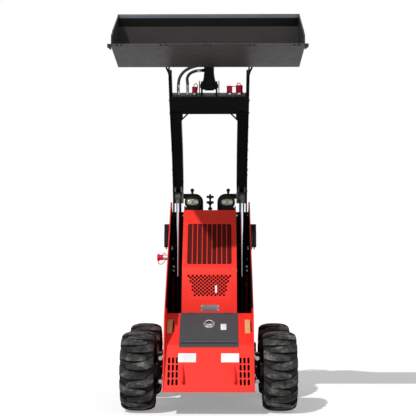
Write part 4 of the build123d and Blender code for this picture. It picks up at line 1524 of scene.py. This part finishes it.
def makeThighPad(sizes):
    bm = bmesh.new()
    columns, rows = sizes["columns"], sizes["rows"]
    front, back = [], []
    for v in (-1 + 2 * j / rows for j in range(rows + 1)):
        line = [padPoint(sizes, -1 + 2 * i / columns, v) for i in range(columns + 1)]
        front.append([bm.verts.new(Vector((x, sizes["back"] + swell, z)) * mm) for x, swell, z in line])
        back.append([bm.verts.new(Vector((x, sizes["back"], z)) * mm) for x, swell, z in line])
    for sheet in (front, back):
        for lower, upper in zip(sheet, sheet[1:]):
            for i in range(columns):
                bm.faces.new((lower[i], lower[i + 1], upper[i + 1], upper[i]))
    rims = [(front[row], back[row]) for row in (0, rows)]
    rims += [([line[i] for line in front], [line[i] for line in back]) for i in (0, columns)]
    for near, far in rims:
        for k in range(len(near) - 1):
            bm.faces.new((near[k], near[k + 1], far[k + 1], far[k]))
    bmesh.ops.recalc_face_normals(bm, faces=bm.faces)
    pad = finishBm(bm, "thighPad", "padVinyl", "chassis", "thigh_pad", smooth=60)


makeThighPad(padSizes)


def treadTree():
    # short raised bars, turned one way and the other, over a plate
    tree, entry = newTree("treadBars", {"Bar Length": 0.024, "Bar Width": 0.006, "Bar Height": 0.002})
    lengths = {"X": entry["Bar Length"], "Y": entry["Bar Width"], "Z": entry["Bar Height"]}
    size = addNode(tree, "ShaderNodeCombineXYZ", lengths)
    turn = addNode(tree, "ShaderNodeCombineXYZ", {"Z": pointValue(tree, "spin", "FLOAT")})
    bars = scatter(tree, entry["Geometry"], cylinder(tree, 8, 0.5, 1.0), turn, Scale=size)
    return closeTree(tree, entry, bars)


platformSizes = {"top": 184.6, "fromY": 682.0, "toY": 962.0, "half": 222.0, "pitch": 28.0}


def makeTread(sizes):
    places, spins = [], []
    pitch = sizes["pitch"]
    for row in range(int((sizes["toY"] - sizes["fromY"]) / pitch) + 1):
        for column in range(int(2 * sizes["half"] / pitch) + 1):
            place = (column * pitch - sizes["half"], sizes["fromY"] + row * pitch, sizes["top"])
            places.append(Vector(place) * mm)
            spins.append(pi / 4 if (row + column) % 2 else -pi / 4)
    mesh = bpy.data.meshes.new("treadPoints")
    mesh.from_pydata(places, [], [])
    for item, value in zip(mesh.attributes.new("spin", "FLOAT", "POINT").data, spins):
        item.value = value
    tread = finishMesh(mesh, "platformTread", None, "chassis")
    runTree(tread, treadTree(), {"Finish": skins["forkGrey"]})


makeTread(platformSizes)

panelSizes = {
    "face": ((652, 1200), (560, 1312)),
    "home": (0, 606, 1256),
    "gauges": (-112, -52),
    "ring": [(0, 20), (0, 27), (5, 27), (7, 25), (7, 22.5), (3, 21)],
    "dial": [(0, 0), (0, 21.5), (2.4, 21.5), (2.4, 0)],
    "glass": [(3, 0), (3, 22), (4.4, 21), (5.6, 10), (5.9, 0)],
    "stop": [(0, 0), (0, 13), (9, 13), (10, 20), (20, 20), (24, 16), (25, 0)],
    "key": [(0, 0), (0, 11), (4, 11), (6, 9), (8, 9), (8, 0)],
    "switchStep": 34,
}


def makeControlPanel(sizes):
    # sloping panel behind the tower: two gauges, an hour counter, switches, key and stop button
    panel, dials, glass, trim, stop = newMeshes(5)
    up = slope(*sizes["face"])["run"]
    right, out = Vector((-1, 0, 0)), Vector((0, up.z, -up.y))
    plane = (right, up)

    def spot(u, v, lift=3.0):
        return Vector(sizes["home"]) + out * lift + right * u + up * v

    addPlate(panel, roundedOutline(318, 122, 12), spot(0, 0, 0.2), plane, 3, 1.2)
    for u in sizes["gauges"]:
        centre = spot(u, 18)
        for target, key in ((trim, "ring"), (dials, "dial"), (glass, "glass")):
            addLathe(target, sizes[key], centre, out, 40)
        for turn in (radians(30 * k - 30) for k in range(9)):  # ticks round each dial and its needle
            spoke = right * cos(turn) + up * sin(turn)
            addBar(stop, centre + out * 2.2 + spoke * 16, centre + out * 2.2 + spoke * 20, 0.6, 6)
        addBar(stop, centre + out * 2.6, centre + out * 2.6 + (right * 0.5 + up * 0.8) * 15, 0.8, 6)
    addPlate(panel, roundedOutline(58, 30, 4), spot(16, 20), plane, 4, 1.0)
    addPlate(glass, roundedOutline(46, 18, 2), spot(16, 20, 7), plane, 0.8, 0.2)
    for u in (sizes["gauges"][0] + sizes["switchStep"] * k for k in range(4)):
        addPlate(panel, roundedOutline(22, 32, 3), spot(u, -34), plane, 3, 0.8)
        addPlate(trim, roundedOutline(15, 24, 3), spot(u, -34, 6), plane, 4, 1.5)
    addLathe(stop, sizes["stop"], spot(100, 12), out, 40)
    addLathe(trim, sizes["key"], spot(66, -34), out, 32)
    finishBm(panel, "controlPanel", "blackPlastic", "chassis")
    finishBm(dials, "gaugeDials", "stickerWhite", "chassis")
    finishBm(glass, "gaugeGlasses", "smokedLens", "chassis", smooth=60)
    finishBm(trim, "panelTrim", "boltZinc", "chassis", smooth=35)
    finishBm(stop, "stopButton", "capRed", "chassis", smooth=35)


makeControlPanel(panelSizes)
print("operator's end made")

# stage, light and camera

stage = {
    "floorSize": 40.0,
    "floorColour": (0.82, 0.82, 0.83),
    "lift": 0.3,
    "ambient": 0.22,
    "sun": 2.85,
    "sunBlur": 1.2,
    "sunAim": (0.515, 0.848, -1),  # high over the nose and to the machine's right
    "fill": 50.0,
    "fillSize": (5.0, 4.0),
    "fillPlace": (4.0, -5.0, 2.5),
    "fillTarget": (0, 0, 1),
}


def makeFloor(sizes):
    bpy.ops.mesh.primitive_plane_add(size=sizes["floorSize"])
    floor = bpy.context.object
    floor.name = "studioFloor"
    tree, shader = newMaterial("studioFloor", sizes["floorColour"], 0.9)
    seen = addNode(tree, "ShaderNodeLightPath", output="Is Camera Ray")
    clear, glow = (addNode(tree, "ShaderNodeEmission", {"Strength": s}) for s in (0.0, sizes["lift"]))
    pick = addNode(tree, "ShaderNodeMixShader", {"Fac": seen, 1: clear, 2: glow})
    both = addNode(tree, "ShaderNodeAddShader", {0: shader.outputs[0], 1: pick})
    feed(tree, tree.nodes["Material Output"], {"Surface": both})
    floor.data.materials.append(skins["studioFloor"])


def makeWorld(sizes):
    world = bpy.data.worlds.new("studioWorld")
    bpy.context.scene.world = world
    world.use_nodes = True
    tree = world.node_tree
    white = {"Color": (1, 1, 1, 1), "Strength": 1.0}
    soft = feed(tree, tree.nodes["Background"], {**white, "Strength": sizes["ambient"]})
    plain = addNode(tree, "ShaderNodeBackground", white)
    seen = addNode(tree, "ShaderNodeLightPath", output="Is Camera Ray")
    for ray in ("Is Glossy Ray", "Is Transmission Ray"):
        seen = mathNode(tree, "MAXIMUM", seen, addNode(tree, "ShaderNodeLightPath", output=ray))
    pick = addNode(tree, "ShaderNodeMixShader", {"Fac": seen, 1: soft.outputs[0], 2: plain})
    feed(tree, tree.nodes["World Output"], {"Surface": pick})


def placeLight(light, aim, place=(0, 0, 0)):
    holder = bpy.data.objects.new(light.name, light)
    holder.location = place
    holder.rotation_euler = aim.to_track_quat("-Z", "Y").to_euler()
    bpy.context.collection.objects.link(holder)


def makeLights(sizes):
    key = bpy.data.lights.new("keySun", "SUN")
    key.energy = sizes["sun"]
    key.angle = radians(sizes["sunBlur"])
    placeLight(key, Vector(sizes["sunAim"]))
    fill = bpy.data.lights.new("fillPanel", "AREA")
    fill.shape = "RECTANGLE"
    fill.size, fill.size_y = sizes["fillSize"]
    fill.energy = sizes["fill"]
    placeLight(fill, Vector(sizes["fillTarget"]) - Vector(sizes["fillPlace"]), sizes["fillPlace"])


def makeCamera(view):
    camera = bpy.data.cameras.new("frontCamera")
    camera.lens = view["lens"]
    camera.sensor_width = view["sensor"]
    holder = bpy.data.objects.new("frontCamera", camera)
    holder.location = view["place"]
    holder.rotation_euler = (radians(90 + view["pitch"]), 0, radians(view["yaw"]))
    bpy.context.collection.objects.link(holder)
    bpy.context.scene.camera = holder


frontView = {"lens": 88.35, "sensor": 36.0, "place": (0.07, -6.944, 1.077), "pitch": 1.963, "yaw": 0.662}
makeFloor(stage)
makeWorld(stage)
makeLights(stage)
makeCamera(frontView)
bpy.context.scene.view_settings.view_transform = "Standard"
print("stage set")
